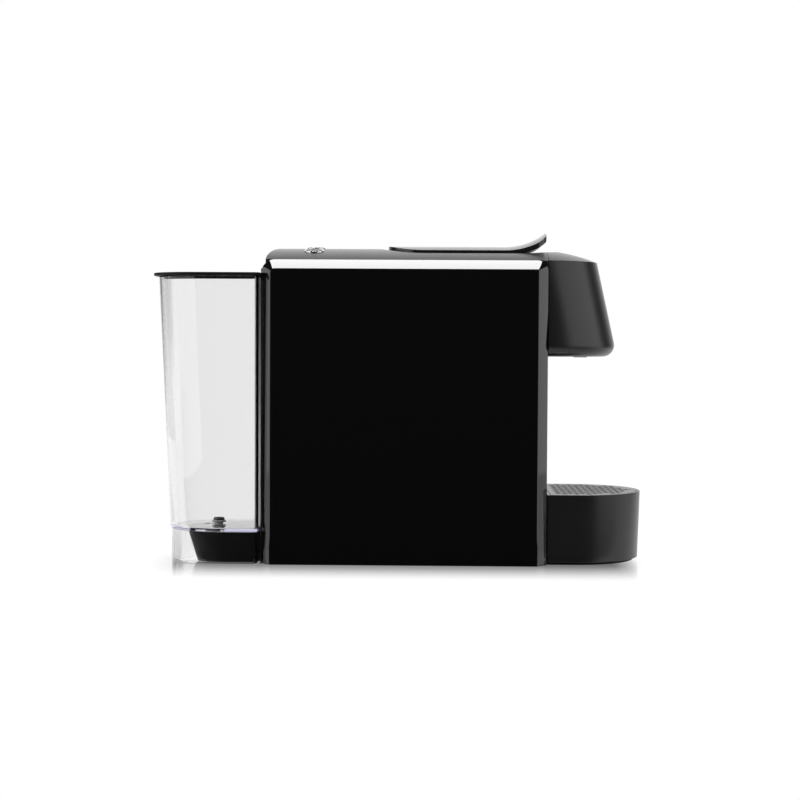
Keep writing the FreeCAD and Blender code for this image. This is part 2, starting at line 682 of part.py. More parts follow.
def trough_prism(wall):
    """The long form of the trough in side view, drawn in by a wall and open on top."""
    rear_z = TROUGH_FRONT_Z + TROUGH_FALL
    half = TROUGH_HALF - wall
    face = polygon([
        point(TROUGH_REAR + wall, -half, rear_z + wall),
        point(TROUGH_FRONT - wall, -half, TROUGH_FRONT_Z + wall),
        point(TROUGH_FRONT - wall, -half, TROUGH_FRONT_Z + TROUGH_HEIGHT),
        point(TROUGH_REAR + wall, -half, rear_z + TROUGH_HEIGHT),
    ])
    return face.extrude(point(0, 2 * half, 0))


def outlet_trough():
    """The sloping trough from the holder's nozzle to the spout."""
    drain = rod(point(SPOUT_X, 0, HEAD_BOTTOM), SPOUT_RADIUS - SPOUT_WALL, HEAD_DEPTH, Z_AXIS)
    seat = rod(point(SPOUT_X, 0, HEAD_BOTTOM), SPOUT_RADIUS, TROUGH_FRONT_Z - HEAD_BOTTOM, Z_AXIS)
    return trough_prism(0).cut(trough_prism(TROUGH_WALL)).cut(drain).cut(seat)


def brew_plate():
    """One side plate of the brew unit: a leg to the base, an ear for the lever and a guide slot."""
    width = (PLATE_INNER, PLATE_OUTER)
    beam = block((THERMO_REAR, FRONT_INSIDE - SEAM), width, (PLATE_BOTTOM, BREW_Z + HOLDER_WING_HALF))
    beam = beam.cut(block((HOLDER_FRONT + BREW_TRAVEL, FRONT_INSIDE), width,
                          (BREW_Z - HOLDER_WING_HALF, TALL)))
    leg = block((THERMO_FRONT - PLATE_LEG, THERMO_FRONT), width, (FLOOR_TOP, PLATE_BOTTOM))
    tab = block((THERMO_FRONT - PLATE_LEG, THERMO_FRONT), (PLATE_INNER, PLATE_OUTER + PLATE_TAB),
                (FLOOR_TOP, FLOOR_TOP + PLATE_THICK))
    ear = block((PIVOT_X - EAR_RADIUS, PIVOT_X + EAR_RADIUS), width, (BREW_Z, PIVOT_Z))
    tip = rod(point(PIVOT_X, PLATE_INNER, PIVOT_Z), EAR_RADIUS, PLATE_THICK, Y_AXIS)
    slot_radius = STUD_RADIUS + RUN_GAP
    slot_ends = (STUD_X, STUD_X + BREW_TRAVEL)
    cuts = [rod(point(x, PLATE_INNER, BREW_Z), slot_radius, PLATE_THICK, Y_AXIS) for x in slot_ends]
    cuts.append(block(slot_ends, width, (BREW_Z - slot_radius, BREW_Z + slot_radius)))
    cuts.append(rod(point(PIVOT_X, PLATE_INNER, PIVOT_Z), PIVOT_PIN_RADIUS, PLATE_THICK, Y_AXIS))
    for x, y in screw_places():
        cuts.append(rod(point(x, y, FLOOR_TOP), SCREW_RADIUS, PLATE_THICK, Z_AXIS))
    return join([beam, leg, tab, ear, tip]).cut(cuts)


def left_brew_plate():
    """The side plate towards +Y."""
    return brew_plate()


def right_brew_plate():
    """The side plate towards -Y."""
    return brew_plate().mirror(point(0, 0, 0), Y_AXIS)


def lever_pin():
    """The pin that the lever turns on, held in the two ears."""
    return rod(point(PIVOT_X, -PLATE_OUTER, PIVOT_Z), PIVOT_PIN_RADIUS, 2 * PLATE_OUTER, Y_AXIS)


def injector_block():
    """The fixed hot half of the brew chamber: a bowl open to the front on a flange between the plates."""
    barrel = rod(point(INJECTOR_REAR, 0, BREW_Z), INJECTOR_RADIUS, INJECTOR_LENGTH, X_AXIS)
    flange = block((INJECTOR_REAR, INJECTOR_REAR + INJECTOR_FLANGE), (-PLATE_INNER, PLATE_INNER),
                   (BREW_Z - INJECTOR_RADIUS, BREW_Z + HOLDER_WING_HALF))
    bowl = rod(point(INJECTOR_REAR + INJECTOR_BACK, 0, BREW_Z), INJECTOR_CAVITY,
               INJECTOR_LENGTH - INJECTOR_BACK, X_AXIS)
    inlet = rod(point(INJECTOR_REAR, 0, BREW_Z), HOSE_RADIUS, INJECTOR_BACK / 2, X_AXIS)
    return join([barrel, flange]).cut(bowl).cut(inlet)


def injector_seal():
    """The rubber ring that closes the brew chamber."""
    return tube(point(SEAL_X, 0, BREW_Z), INJECTOR_RADIUS, INJECTOR_CAVITY, SEAL_THICK, X_AXIS)


def piercing_pins():
    """The pointed pins that open the back of a capsule."""
    pins = []
    base = INJECTOR_REAR + INJECTOR_BACK
    for index in range(NEEDLE_COUNT):
        turn = 2 * math.pi * index / NEEDLE_COUNT
        start = point(base, NEEDLE_CIRCLE * math.sin(turn), BREW_Z + NEEDLE_CIRCLE * math.cos(turn))
        pins.append(Part.makeCone(NEEDLE_RADIUS, 0, NEEDLE_LENGTH, start, X_AXIS))
    return Part.makeCompound(pins)


def drawbar():
    """One arm of the holder, with an upright slot for the crank pin."""
    bar = block((CRANK_REST_X - DRAWBAR_END, HOLDER_FRONT), (BAR_INNER, BAR_OUTER),
                (BREW_Z - HOLDER_WING_HALF, CRANK_REST_Z + DRAWBAR_END))
    slot_half = CRANK_PIN_RADIUS + CRANK_SLOT_GAP
    low = PIVOT_Z - CRANK_RADIUS
    cuts = [block((CRANK_REST_X - slot_half, CRANK_REST_X + slot_half), (BAR_INNER, BAR_OUTER),
                  (low, CRANK_REST_Z))]
    for z in (low, CRANK_REST_Z):
        cuts.append(rod(point(CRANK_REST_X, BAR_INNER, z), slot_half, DRAWBAR_THICK, Y_AXIS))
    return bar.cut(cuts)


def capsule_holder():
    """The sliding half of the brew chamber with its wings, drawbars and guide studs."""
    body = rod(point(HOLDER_REAR, 0, BREW_Z), INJECTOR_RADIUS, HOLDER_LENGTH, X_AXIS)
    wing = block((HOLDER_FRONT - HOLDER_WING, HOLDER_FRONT), (-BAR_OUTER, BAR_OUTER),
                 (BREW_Z - HOLDER_WING_HALF, BREW_Z + HOLDER_WING_HALF))
    stud = rod(point(STUD_X, -PLATE_OUTER, BREW_Z), STUD_RADIUS, 2 * PLATE_OUTER, Y_AXIS)
    bowl = rod(point(HOLDER_REAR, 0, BREW_Z), HOLDER_CAVITY, HOLDER_CAVITY_DEPTH, X_AXIS)
    bar = drawbar()
    solid = join([body, wing, stud, bar, bar.mirror(point(0, 0, 0), Y_AXIS)])
    outlet = rod(point(HOLDER_REAR, 0, BREW_Z), NOZZLE_BORE, HOLDER_LENGTH, X_AXIS)
    return solid.cut(bowl).cut(outlet)


def extraction_plate():
    """The drilled disc at the bottom of the holder's bowl."""
    start = HOLDER_REAR + HOLDER_CAVITY_DEPTH - EXTRACTION_THICK
    disc = rod(point(start, 0, BREW_Z), HOLDER_CAVITY - SEAM / 2, EXTRACTION_THICK, X_AXIS)
    for index in range(EXTRACTION_COUNT):
        turn = 2 * math.pi * index / EXTRACTION_COUNT
        y = EXTRACTION_CIRCLE * math.sin(turn)
        z = BREW_Z + EXTRACTION_CIRCLE * math.cos(turn)
        disc = disc.cut(rod(point(start, y, z), EXTRACTION_HOLE, EXTRACTION_THICK, X_AXIS))
    return disc


def holder_nozzle():
    """The elbow from the holder down into the trough."""
    reach = NOZZLE_REACH
    level = rod(point(HOLDER_FRONT, 0, BREW_Z), NOZZLE_RADIUS, reach, X_AXIS)
    knee = Part.makeSphere(NOZZLE_RADIUS, point(NOZZLE_X, 0, BREW_Z))
    drop = rod(point(NOZZLE_X, 0, BREW_Z - 2 * NOZZLE_RADIUS), NOZZLE_RADIUS, 2 * NOZZLE_RADIUS, Z_AXIS)
    bores = [
        rod(point(HOLDER_FRONT, 0, BREW_Z), NOZZLE_BORE, reach, X_AXIS),
        rod(point(NOZZLE_X, 0, BREW_Z - 2 * NOZZLE_RADIUS), NOZZLE_BORE, 2 * NOZZLE_RADIUS, Z_AXIS),
    ]
    return join([level, knee, drop]).cut(bores[0]).cut(bores[1])


def lever_section():
    """The strip that the lever is cut from, where its front starts to turn up: thin and crowned."""
    half = LEVER_HALF + LEVER_TRIM
    edge_top = LEVER_TOP - LEVER_RADIUS + math.sqrt(LEVER_RADIUS ** 2 - half ** 2)
    edge_low = edge_top - LEVER_THICK
    x = LEVER_TURN_X
    top = Part.Arc(point(x, -half, edge_top), point(x, 0, LEVER_TOP), point(x, half, edge_top)).toShape()
    low = Part.Arc(point(x, half, edge_low), point(x, 0, LEVER_TOP - LEVER_THICK),
                   point(x, -half, edge_low)).toShape()
    left = Part.makeLine(point(x, half, edge_top), point(x, half, edge_low))
    right = Part.makeLine(point(x, -half, edge_low), point(x, -half, edge_top))
    return Part.Face(Part.Wire([top, left, low, right]))


def lever_plan():
    """The lever's outline seen from above: a round tail and softened front corners."""
    tail = LEVER_HALF - LEAST_RADIUS
    corners = [
        (LEVER_FRONT, -LEVER_HALF, LEVER_FRONT_CORNER), (LEVER_FRONT, LEVER_HALF, LEVER_FRONT_CORNER),
        (LEVER_REAR, LEVER_HALF, tail), (LEVER_REAR, -LEVER_HALF, tail),
    ]
    return Part.Face(rounded_wire(corners, COVER_BOTTOM)).extrude(point(0, 0, TALL))


def lever_blade():
    """The crowned blade of the lever, turned up at its front for the fingers."""
    section = lever_section()
    straight = section.extrude(point(LEVER_REAR - LEVER_TRIM - LEVER_TURN_X, 0, 0))
    turn_axis = point(LEVER_TURN_X, 0, LEVER_TOP + LEVER_TURN_RADIUS)
    upturn = section.revolve(turn_axis, point(0, -1, 0), LEVER_TURN_ANGLE + LEVER_TRIM_ANGLE)
    return join([straight, upturn]).common(lever_plan())


def crank_arm():
    """One crank of the lever: a flat link from the hub to its crank pin."""
    reach = CRANK_RADIUS
    link = block((PIVOT_X - CRANK_ARM_HALF, PIVOT_X + CRANK_ARM_HALF), (ARM_INNER, ARM_OUTER),
                 (PIVOT_Z - reach, PIVOT_Z))
    head = rod(point(PIVOT_X, ARM_INNER, PIVOT_Z), CRANK_ARM_HALF, CRANK_ARM, Y_AXIS)
    foot = rod(point(PIVOT_X, ARM_INNER, PIVOT_Z - reach), CRANK_ARM_HALF, CRANK_ARM, Y_AXIS)
    arm = join([link, head, foot])
    arm.rotate(point(PIVOT_X, 0, PIVOT_Z), Y_AXIS, math.degrees(CRANK_REST))
    return arm


def lever_hub():
    """The lever's turning piece: a bored barrel, a saddle below the blade and two cranks."""
    barrel = rod(point(PIVOT_X, -ARM_OUTER, PIVOT_Z), HUB_RADIUS, 2 * ARM_OUTER, Y_AXIS)
    under = LEVER_TOP - LEVER_THICK
    neck = block((PIVOT_X - HUB_RADIUS, PIVOT_X + HUB_RADIUS), (-SADDLE_HALF, SADDLE_HALF), (PIVOT_Z, under))
    saddle = block((PIVOT_X - HUB_RADIUS, PIVOT_X + SADDLE_LENGTH), (-SADDLE_HALF, SADDLE_HALF),
                   (under - SADDLE_THICK, under))
    belly = rod(point(PIVOT_X - HUB_RADIUS, 0, under - LEVER_RADIUS), LEVER_RADIUS,
                SADDLE_LENGTH + 2 * HUB_RADIUS, X_AXIS)
    arm = crank_arm()
    seat = join([neck, saddle]).common(belly)
    hub = join([barrel, seat, arm, arm.mirror(point(0, 0, 0), Y_AXIS)])
    bore = rod(point(PIVOT_X, -ARM_OUTER, PIVOT_Z), PIVOT_PIN_RADIUS + HUB_FIT, 2 * ARM_OUTER, Y_AXIS)
    return hub.cut(bore)


def crank_pins():
    """The two pins of the cranks that reach through the drawbars' slots."""
    pin = rod(point(CRANK_REST_X, ARM_OUTER, CRANK_REST_Z), CRANK_PIN_RADIUS, BAR_OUTER - ARM_OUTER, Y_AXIS)
    return both_sides(pin)


def thermoblock():
    """The cast heater block, ribbed on its underside."""
    body = block((THERMO_REAR, THERMO_FRONT), (-PLATE_INNER, PLATE_INNER),
                 (THERMO_BOTTOM + THERMO_FIN, THERMO_TOP))
    pitch = 2 * PLATE_INNER / THERMO_FIN_COUNT
    fins = []
    for index in range(THERMO_FIN_COUNT):
        middle = (index + 0.5) * pitch - PLATE_INNER
        fins.append(block((THERMO_REAR, THERMO_FRONT), (middle - THERMO_FIN, middle + THERMO_FIN),
                          (THERMO_BOTTOM, THERMO_BOTTOM + THERMO_FIN)))
    return join([body] + fins)


def thermostat():
    """The round temperature switch on top of the heater block."""
    middle = THERMO_REAR + THERMOSTAT_RADIUS
    side = -HOSE_RADIUS - THERMOSTAT_CLEAR - THERMOSTAT_RADIUS
    base = rod(point(middle, side, THERMO_TOP), THERMOSTAT_RADIUS, THERMOSTAT_THICK, Z_AXIS)
    blade = block((middle - SEAM, middle + SEAM),
                  (side - THERMOSTAT_RADIUS / 2, side + THERMOSTAT_RADIUS / 2),
                  (THERMO_TOP + THERMOSTAT_THICK, THERMO_TOP + 2 * THERMOSTAT_THICK))
    return join([base, blade])


def mount_places():
    """Where the two rubber rings of the pump start along the machine."""
    return (PUMP_REAR + MOUNT_INSET, PUMP_FRONT - MOUNT_INSET - MOUNT_WIDTH)


def pump():
    """The vibrating pump: a round coil body with a nipple at each end."""
    body = rod(point(PUMP_REAR, 0, PUMP_AXIS_HEIGHT), PUMP_RADIUS, PUMP_FRONT - PUMP_REAR, X_AXIS)
    nipples = rod(point(PUMP_REAR - PUMP_NIPPLE, 0, PUMP_AXIS_HEIGHT), HOSE_RADIUS,
                  PUMP_FRONT - PUMP_REAR + 2 * PUMP_NIPPLE, X_AXIS)
    return join([body, nipples])


def pump_mounts():
    """The rubber rings that hold the pump in the base."""
    rings = [tube(point(x, 0, PUMP_AXIS_HEIGHT), PUMP_RADIUS + PUMP_RING, PUMP_RADIUS, MOUNT_WIDTH, X_AXIS)
             for x in mount_places()]
    return Part.makeCompound(rings)


def flow_meter():
    """The round meter between the tank and the pump."""
    return rod(point(METER_X, 0, FLOOR_TOP), METER_RADIUS, METER_HEIGHT, Z_AXIS)


def hose(points):
    """A round hose along straight runs joined by tangent arcs."""
    edges = []
    start = points[0]
    for before, corner, after in zip(points, points[1:], points[2:]):
        to_before = (before - corner).normalize()
        to_after = (after - corner).normalize()
        bend_start = corner + to_before * HOSE_BEND
        bend_end = corner + to_after * HOSE_BEND
        middle = corner + (to_before + to_after) * HOSE_BEND * (1 - math.sqrt(0.5))
        edges.append(Part.makeLine(start, bend_start))
        edges.append(Part.Arc(bend_start, middle, bend_end).toShape())
        start = bend_end
    edges.append(Part.makeLine(start, points[-1]))
    section = Part.Wire(Part.makeCircle(HOSE_RADIUS, points[0], points[1] - points[0]))
    return Part.Wire(edges).makePipeShell([section], True, False)


def inlet_hose():
    """The hose from the tank's socket to the flow meter."""
    start = VALVE_X + SOCKET_RADIUS - SOCKET_WALL
    return rod(point(start, 0, HOSE_LEVEL), HOSE_RADIUS, METER_X - METER_RADIUS - start, X_AXIS)


def suction_hose():
    """The hose from the flow meter up to the pump."""
    end = PUMP_REAR - PUMP_NIPPLE
    x = end - HOSE_BEND - HOSE_RUN
    return hose([point(x, 0, FLOOR_TOP + METER_HEIGHT), point(x, 0, PUMP_AXIS_HEIGHT),
                 point(end, 0, PUMP_AXIS_HEIGHT)])


def pressure_hose():
    """The hose from the pump up to the heater block."""
    start = PUMP_FRONT + PUMP_NIPPLE
    x = start + HOSE_BEND + HOSE_RUN
    level = THERMO_BOTTOM + THERMO_HEIGHT / 2
    return hose([point(start, 0, PUMP_AXIS_HEIGHT), point(x, 0, PUMP_AXIS_HEIGHT), point(x, 0, level),
                 point(THERMO_FRONT, 0, level)])


def brew_hose():
    """The hose from the heater block to the injector."""
    x = THERMO_FRONT - HOSE_BEND - HOSE_RUN
    return hose([point(x, 0, THERMO_TOP), point(x, 0, BREW_Z), point(INJECTOR_REAR, 0, BREW_Z)])


def control_board():
    """The circuit board on the rear wall with its larger components."""
    face = REAR_INSIDE + BOARD_STANDOFF
    board = block((face, face + BOARD_THICK), (-BOARD_HALF, BOARD_HALF),
                  (BOARD_LIFT, BOARD_LIFT + BOARD_HEIGHT))
    inset = BOARD_HALF / 4
    front = face + BOARD_THICK
    relay = block((front, front + BOARD_STANDOFF), (-BOARD_HALF + inset, -inset),
                  (BOARD_LIFT + inset, BOARD_LIFT + 2 * inset))
    coil = rod(point(front, BOARD_HALF / 2, BOARD_LIFT + 2 * inset), inset / 2, BOARD_STANDOFF, X_AXIS)
    return join([board, relay, coil])


def arch(radius, thick, half, x_range):
    """A curved strip that follows the crown, between two radii and across a width."""
    ring = tube(point(x_range[0], 0, CROWN_AXIS_Z), radius, radius - thick, x_range[1] - x_range[0], X_AXIS)
    return ring.common(block(x_range, (-half, half), (CROWN_AXIS_Z, CROWN_TOP)))


def switch_carrier():
    """The curved strip below the buttons, hung from the cover by four posts."""
    x_range = (BUTTON_X - CARRIER_LENGTH / 2, BUTTON_X + CARRIER_LENGTH / 2)
    half = BUTTON_MIDDLE * BUTTON_PITCH + CARRIER_MARGIN
    strip = arch(CROWN_RADIUS - CARRIER_DROP, CARRIER_THICK, half, x_range)
    length = CARRIER_DROP - COVER_WALL + CARRIER_THICK / 2
    post = rod(point(0, 0, CROWN_TOP - COVER_WALL - length), CARRIER_POST, length, Z_AXIS)
    posts = []
    for x in (x_range[0] + CARRIER_POST, x_range[1] - CARRIER_POST):
        for index in (BUTTON_MIDDLE - CARRIER_POST_SHIFT, BUTTON_MIDDLE + CARRIER_POST_SHIFT):
            placed = post.copy()
            placed.translate(point(x, 0, 0))
            posts.append(button_turn(placed, index))
    return join([strip] + posts).cut(crown_shell())


def crown_shell():
    """The cover's own thickness along the crown, where nothing else may stand."""
    start = point(BODY_REAR, 0, CROWN_AXIS_Z)
    return tube(start, CROWN_RADIUS, CROWN_RADIUS - COVER_WALL, BODY_LENGTH, X_AXIS)


def button_switches():
    """The small push switches on the carrier, one below each button."""
    top = CROWN_TOP - CARRIER_DROP + SWITCH_HEIGHT
    half = SWITCH_SIZE / 2
    body = block((BUTTON_X - half, BUTTON_X + half), (-half, half), (CROWN_TOP - CARRIER_DROP, top))
    return Part.makeCompound([button_turn(body, index).cut(carrier_core()) for index in range(BUTTON_COUNT)])


def carrier_core():
    """The space taken up by the carrier's strip and all below it."""
    return rod(point(BODY_REAR, 0, CROWN_AXIS_Z), CROWN_RADIUS - CARRIER_DROP, BODY_LENGTH, X_AXIS)


def button_bezels():
    """The bright rings round the three buttons."""
    ring = tube(point(BUTTON_X, 0, CROWN_TOP - BEZEL_DEPTH), BEZEL_RADIUS, BUTTON_RADIUS + RUN_GAP,
                BEZEL_DEPTH + BEZEL_PROUD, Z_AXIS)
    return Part.makeCompound([button_turn(ring, index) for index in range(BUTTON_COUNT)])


def push_button(index):
    """One button: a round cap with a stem that reaches down to its switch."""
    cap = rod(point(BUTTON_X, 0, CROWN_TOP - BUTTON_DEPTH), BUTTON_RADIUS,
              BUTTON_DEPTH + BUTTON_PROUD, Z_AXIS)
    stem_end = CROWN_TOP - CARRIER_DROP + SWITCH_HEIGHT + BUTTON_TRAVEL + RUN_GAP
    stem = rod(point(BUTTON_X, 0, stem_end), BUTTON_STEM, CROWN_TOP - stem_end, Z_AXIS)
    return button_turn(join([cap, stem]), index)


def water_tank():
    """The clear tank: a leaning shell with a sunken valve seat, a skirt and a hook to the body."""
    outer = tank_block(0, TANK_FLOOR_LEVEL, TANK_RIM, 1, 0)
    floor_lean = 1 - TANK_FLOOR / (TANK_RIM - TANK_FLOOR_LEVEL)
    inner = tank_block(TANK_WALL, TANK_INSIDE_FLOOR, TANK_RIM, floor_lean, 0)
    skirt_outer = tank_block(SKIRT_INSET, SKIRT_BOTTOM, TANK_FLOOR_LEVEL, 1, 1)
    skirt_inner = tank_block(SKIRT_INSET + TANK_WALL, SKIRT_BOTTOM, TANK_FLOOR_LEVEL, 1, 1)
    mouth = block((TANK_FRONT - TANK_WALL - TANK_FRONT_CORNER, TANK_FRONT), (-SKIRT_MOUTH, SKIRT_MOUTH),
                  (SKIRT_BOTTOM, TANK_FLOOR_LEVEL))
    skirt = skirt_outer.cut(skirt_inner).cut(mouth)
    hook = block((TANK_FRONT - TANK_WALL, BODY_REAR - LID_GAP), (-TANK_HOOK_HALF, TANK_HOOK_HALF),
                 (TANK_RIM - TANK_HOOK_HEIGHT, TANK_RIM))
    sump_wall = rod(point(VALVE_X, 0, SUMP_BOTTOM), SUMP_RADIUS + TANK_WALL,
                    TANK_INSIDE_FLOOR - SUMP_BOTTOM, Z_AXIS)
    sump = rod(point(VALVE_X, 0, SUMP_FLOOR), SUMP_RADIUS, SUMP_DEPTH, Z_AXIS)
    valve_hole = rod(point(VALVE_X, 0, SUMP_BOTTOM), VALVE_RADIUS, TANK_FLOOR, Z_AXIS)
    return join([outer.cut(inner), skirt, hook, sump_wall]).cut(sump).cut(valve_hole)


def tank_lid():
    """The lid: a thin plate over tank and gap, with a rim that drops into the tank."""
    bottom = TANK_RIM + LID_GAP
    rear = -TOTAL_LENGTH / 2
    front = TANK_FRONT + LID_LIP
    half = TANK_HALF + TANK_OVERHANG / 2
    corners = [
        (front, -half, LID_FRONT_CORNER), (front, half, LID_FRONT_CORNER),
        (rear, half, LID_CORNER), (rear, -half, LID_CORNER),
    ]
    plate = Part.Face(rounded_wire(corners, bottom)).extrude(point(0, 0, LID_THICK))
    inset = TANK_WALL + LID_GAP
    lean = (LID_PLUG + LID_GAP) / (TANK_RIM - TANK_FLOOR_LEVEL)
    low = bottom - LID_PLUG
    plug = tank_block(inset, low, bottom, lean, lean)
    hollow = tank_block(inset + LID_PLUG_WALL, low, bottom, lean, lean)
    return join([plate, plug.cut(hollow)])


def valve_body():
    """The valve seat in the tank's sump: a flanged tube that reaches into the socket."""
    stem = rod(point(VALVE_X, 0, VALVE_BOTTOM), VALVE_RADIUS, VALVE_LENGTH, Z_AXIS)
    flange = rod(point(VALVE_X, 0, SUMP_FLOOR), VALVE_FLANGE, VALVE_FLANGE_THICK, Z_AXIS)
    bore = rod(point(VALVE_X, 0, VALVE_BOTTOM), VALVE_BORE, VALVE_LENGTH + VALVE_FLANGE_THICK, Z_AXIS)
    return join([stem, flange]).cut(bore)


def valve_poppet():
    """The sliding plug of the tank's valve: a head in the bore, a stem and a spool above the flange."""
    low = VALVE_BOTTOM + POPPET_HEAD
    spool = VALVE_TOP + SPOOL_LIFT
    neck = spool + SPOOL_DISC
    upper = neck + SPOOL_NECK
    cap = upper + SPOOL_DISC
    turned = [
        (low, low + POPPET_HEAD, POPPET_RADIUS), (low, neck, POPPET_STEM), (spool, neck, SPOOL_RADIUS),
        (neck, upper, POPPET_RADIUS), (upper, cap, SPOOL_RADIUS), (cap, cap + SPOOL_CAP, SPOOL_CAP_RADIUS),
    ]
    return join([rod(point(VALVE_X, 0, start), radius, end - start, Z_AXIS) for start, end, radius in turned])


def tank_socket():
    """The round socket in the stand that takes the tank's valve, with the pin that lifts its plug."""
    shell = rod(point(VALVE_X, 0, SOCKET_BOTTOM), SOCKET_RADIUS, SOCKET_DEPTH, Z_AXIS)
    seat = rod(point(VALVE_X, 0, SOCKET_BOTTOM + SOCKET_WALL), SOCKET_RADIUS - SOCKET_WALL,
               SOCKET_DEPTH - SOCKET_WALL, Z_AXIS)
    pin_top = VALVE_BOTTOM + POPPET_HEAD - RUN_GAP
    pin = rod(point(VALVE_X, 0, SOCKET_BOTTOM), POPPET_STEM, pin_top - SOCKET_BOTTOM, Z_AXIS)
    way_start = VALVE_X + SOCKET_RADIUS - 2 * SOCKET_WALL
    way = rod(point(way_start, 0, HOSE_LEVEL), HOSE_RADIUS, 3 * SOCKET_WALL, X_AXIS)
    return join([shell.cut(seat), pin]).cut(way)


def socket_seal():
    """The rubber ring in the socket that grips the tank's valve."""
    bottom = RECESS_FLOOR - 2 * SOCKET_SEAL
    return tube(point(VALVE_X, 0, bottom), SOCKET_RADIUS - SOCKET_WALL, VALVE_RADIUS + RUN_GAP,
                SOCKET_SEAL, Z_AXIS)


def tray_wire(z, inset, rear):
    """The tray's plan at one level: straight sides from its rear that run into a half-round nose."""
    radius = TRAY_RADIUS - inset
    left = point(TRAY_CENTRE, radius, z)
    right = point(TRAY_CENTRE, -radius, z)
    edges = [
        Part.makeLine(point(rear, -radius, z), right),
        Part.Arc(right, point(TRAY_CENTRE + radius, 0, z), left).toShape(),
        Part.makeLine(left, point(rear, radius, z)),
        Part.makeLine(point(rear, radius, z), point(rear, -radius, z)),
    ]
    return Part.Wire(edges)


def tray_block(inset_low, inset_high, rear_inset, bottom, top):
    """A solid of the tray's plan between two levels, its rear drawn in by an inset of its own."""
    rear = TRAY_REAR + rear_inset
    return Part.makeLoft([tray_wire(bottom, inset_low, rear), tray_wire(top, inset_high, rear)], True, True)


def drip_tray():
    """The drawer's front: a round-nosed basin with a ledge for the grille and runners into the body."""
    outer = tray_block(TRAY_DRAFT, 0, 0, PLINTH_TOP, TRAY_TOP)
    pocket = tray_block(TRAY_WALL, TRAY_WALL, TRAY_WALL, GRILLE_BOTTOM, TRAY_TOP)
    basin_inset = TRAY_WALL + TRAY_LEDGE
    basin = tray_block(basin_inset, basin_inset, basin_inset, TRAY_FLOOR, TRAY_TOP)
    front = TRAY_REAR + TRAY_WALL
    span = (-RUNNER_OUTER, RUNNER_OUTER)
    floor = block((BIN_REAR, front), span, (DRAWER_BOTTOM, BIN_BOTTOM))
    lift = block((TRAY_REAR, front), span, (DRAWER_BOTTOM, TRAY_FLOOR))
    runner_top = DRAWER_BOTTOM + RUNNER_HEIGHT
    runner = block((BIN_REAR, front), (RUNNER_INNER, RUNNER_OUTER), (DRAWER_BOTTOM, runner_top))
    shell = outer.cut(pocket).cut(basin)
    return join([shell, floor, lift, runner, runner.mirror(point(0, 0, 0), Y_AXIS)])


def tray_plinth():
    """The drawn-in foot below the tray."""
    return tray_block(PLINTH_INSET, PLINTH_INSET, 0, TABLE_GAP, PLINTH_TOP)


def grille_holes(count_x, count_y):
    """Diamond holes in staggered rows that stay clear of the grille's edge."""
    holes = []
    half = GRILLE_HOLE / 2
    limit = TRAY_RADIUS - TRAY_WALL - GRILLE_MARGIN
    for row in range(count_x):
        x = TRAY_REAR + TRAY_WALL + GRILLE_MARGIN + row * GRILLE_PITCH / 2
        shift = (row % 2) * GRILLE_PITCH / 2
        for column in range(-count_y, count_y + 1):
            y = column * GRILLE_PITCH + shift
            if math.hypot(max(x - TRAY_CENTRE, 0), y) > limit:
                continue
            face = polygon([point(x - half, y, GRILLE_BOTTOM), point(x, y - half, GRILLE_BOTTOM),
                            point(x + half, y, GRILLE_BOTTOM), point(x, y + half, GRILLE_BOTTOM)])
            holes.append(face.extrude(point(0, 0, GRILLE_THICK)))
    return holes


def drip_grille():
    """The flat grille on the tray, pierced by staggered diamond holes."""
    inset = TRAY_WALL + RUN_GAP
    plate = tray_block(inset, inset, inset, GRILLE_BOTTOM, TRAY_TOP)
    rows = int(TRAY_REACH / (GRILLE_PITCH / 2))
    columns = int(TRAY_RADIUS / GRILLE_PITCH)
    return plate.cut(grille_holes(rows, columns))


def bin_wire(z, inset):
    """The used-capsule bin's plan at one level."""
    rear = BIN_REAR + inset
    front = BODY_FRONT - SEAM - inset
    half = BIN_HALF - inset
    radius = max(BIN_WALL * 3 - inset, LEAST_RADIUS)
    corners = [(front, -half, radius), (front, half, radius), (rear, half, radius), (rear, -half, radius)]
    return rounded_wire(corners, z)


def capsule_bin():
    """The bin for used capsules that rides on the drawer behind the tray."""
    outer = Part.makeLoft([bin_wire(BIN_BOTTOM, BIN_DRAFT), bin_wire(BIN_TOP, 0)], True, True)
    inside_floor = bin_wire(BIN_BOTTOM + BIN_WALL, BIN_DRAFT + BIN_WALL)
    inner = Part.makeLoft([inside_floor, bin_wire(BIN_TOP, BIN_WALL)], True, True)
    return outer.cut(inner)


def cord_gland():
    """The bush in the base where the mains lead would enter."""
    x = BODY_REAR + GLAND_BACK
    inner = INSIDE_HALF - BASE_WALL
    sleeve = rod(point(x, inner, GLAND_RISE), GLAND_RADIUS, BASE_WALL + SEAM, Y_AXIS)
    flange = rod(point(x, inner - BASE_WALL, GLAND_RISE), GLAND_FLANGE, BASE_WALL, Y_AXIS)
    above_floor = block((x - GLAND_FLANGE, x + GLAND_FLANGE), (inner - BASE_WALL, inner), (FLOOR_TOP, TALL))
    bore = rod(point(x, inner - BASE_WALL, GLAND_RISE), GLAND_BORE, 2 * BASE_WALL + SEAM, Y_AXIS)
    return join([sleeve, flange.common(above_floor)]).cut(bore)


def rubber_feet():
    """The round feet below the corners of the base and below the tank stand."""
    inset = FOOT_RADIUS + PEDESTAL_WALL
    places = []
    for x in (BODY_REAR + inset, BODY_FRONT - inset):
        for y in (-INSIDE_HALF + inset, INSIDE_HALF - inset):
            places.append((x, y))
    feet = [rod(point(x, y, 0), FOOT_RADIUS, FOOT_HEIGHT, Z_AXIS) for x, y in places]
    return Part.makeCompound(feet)


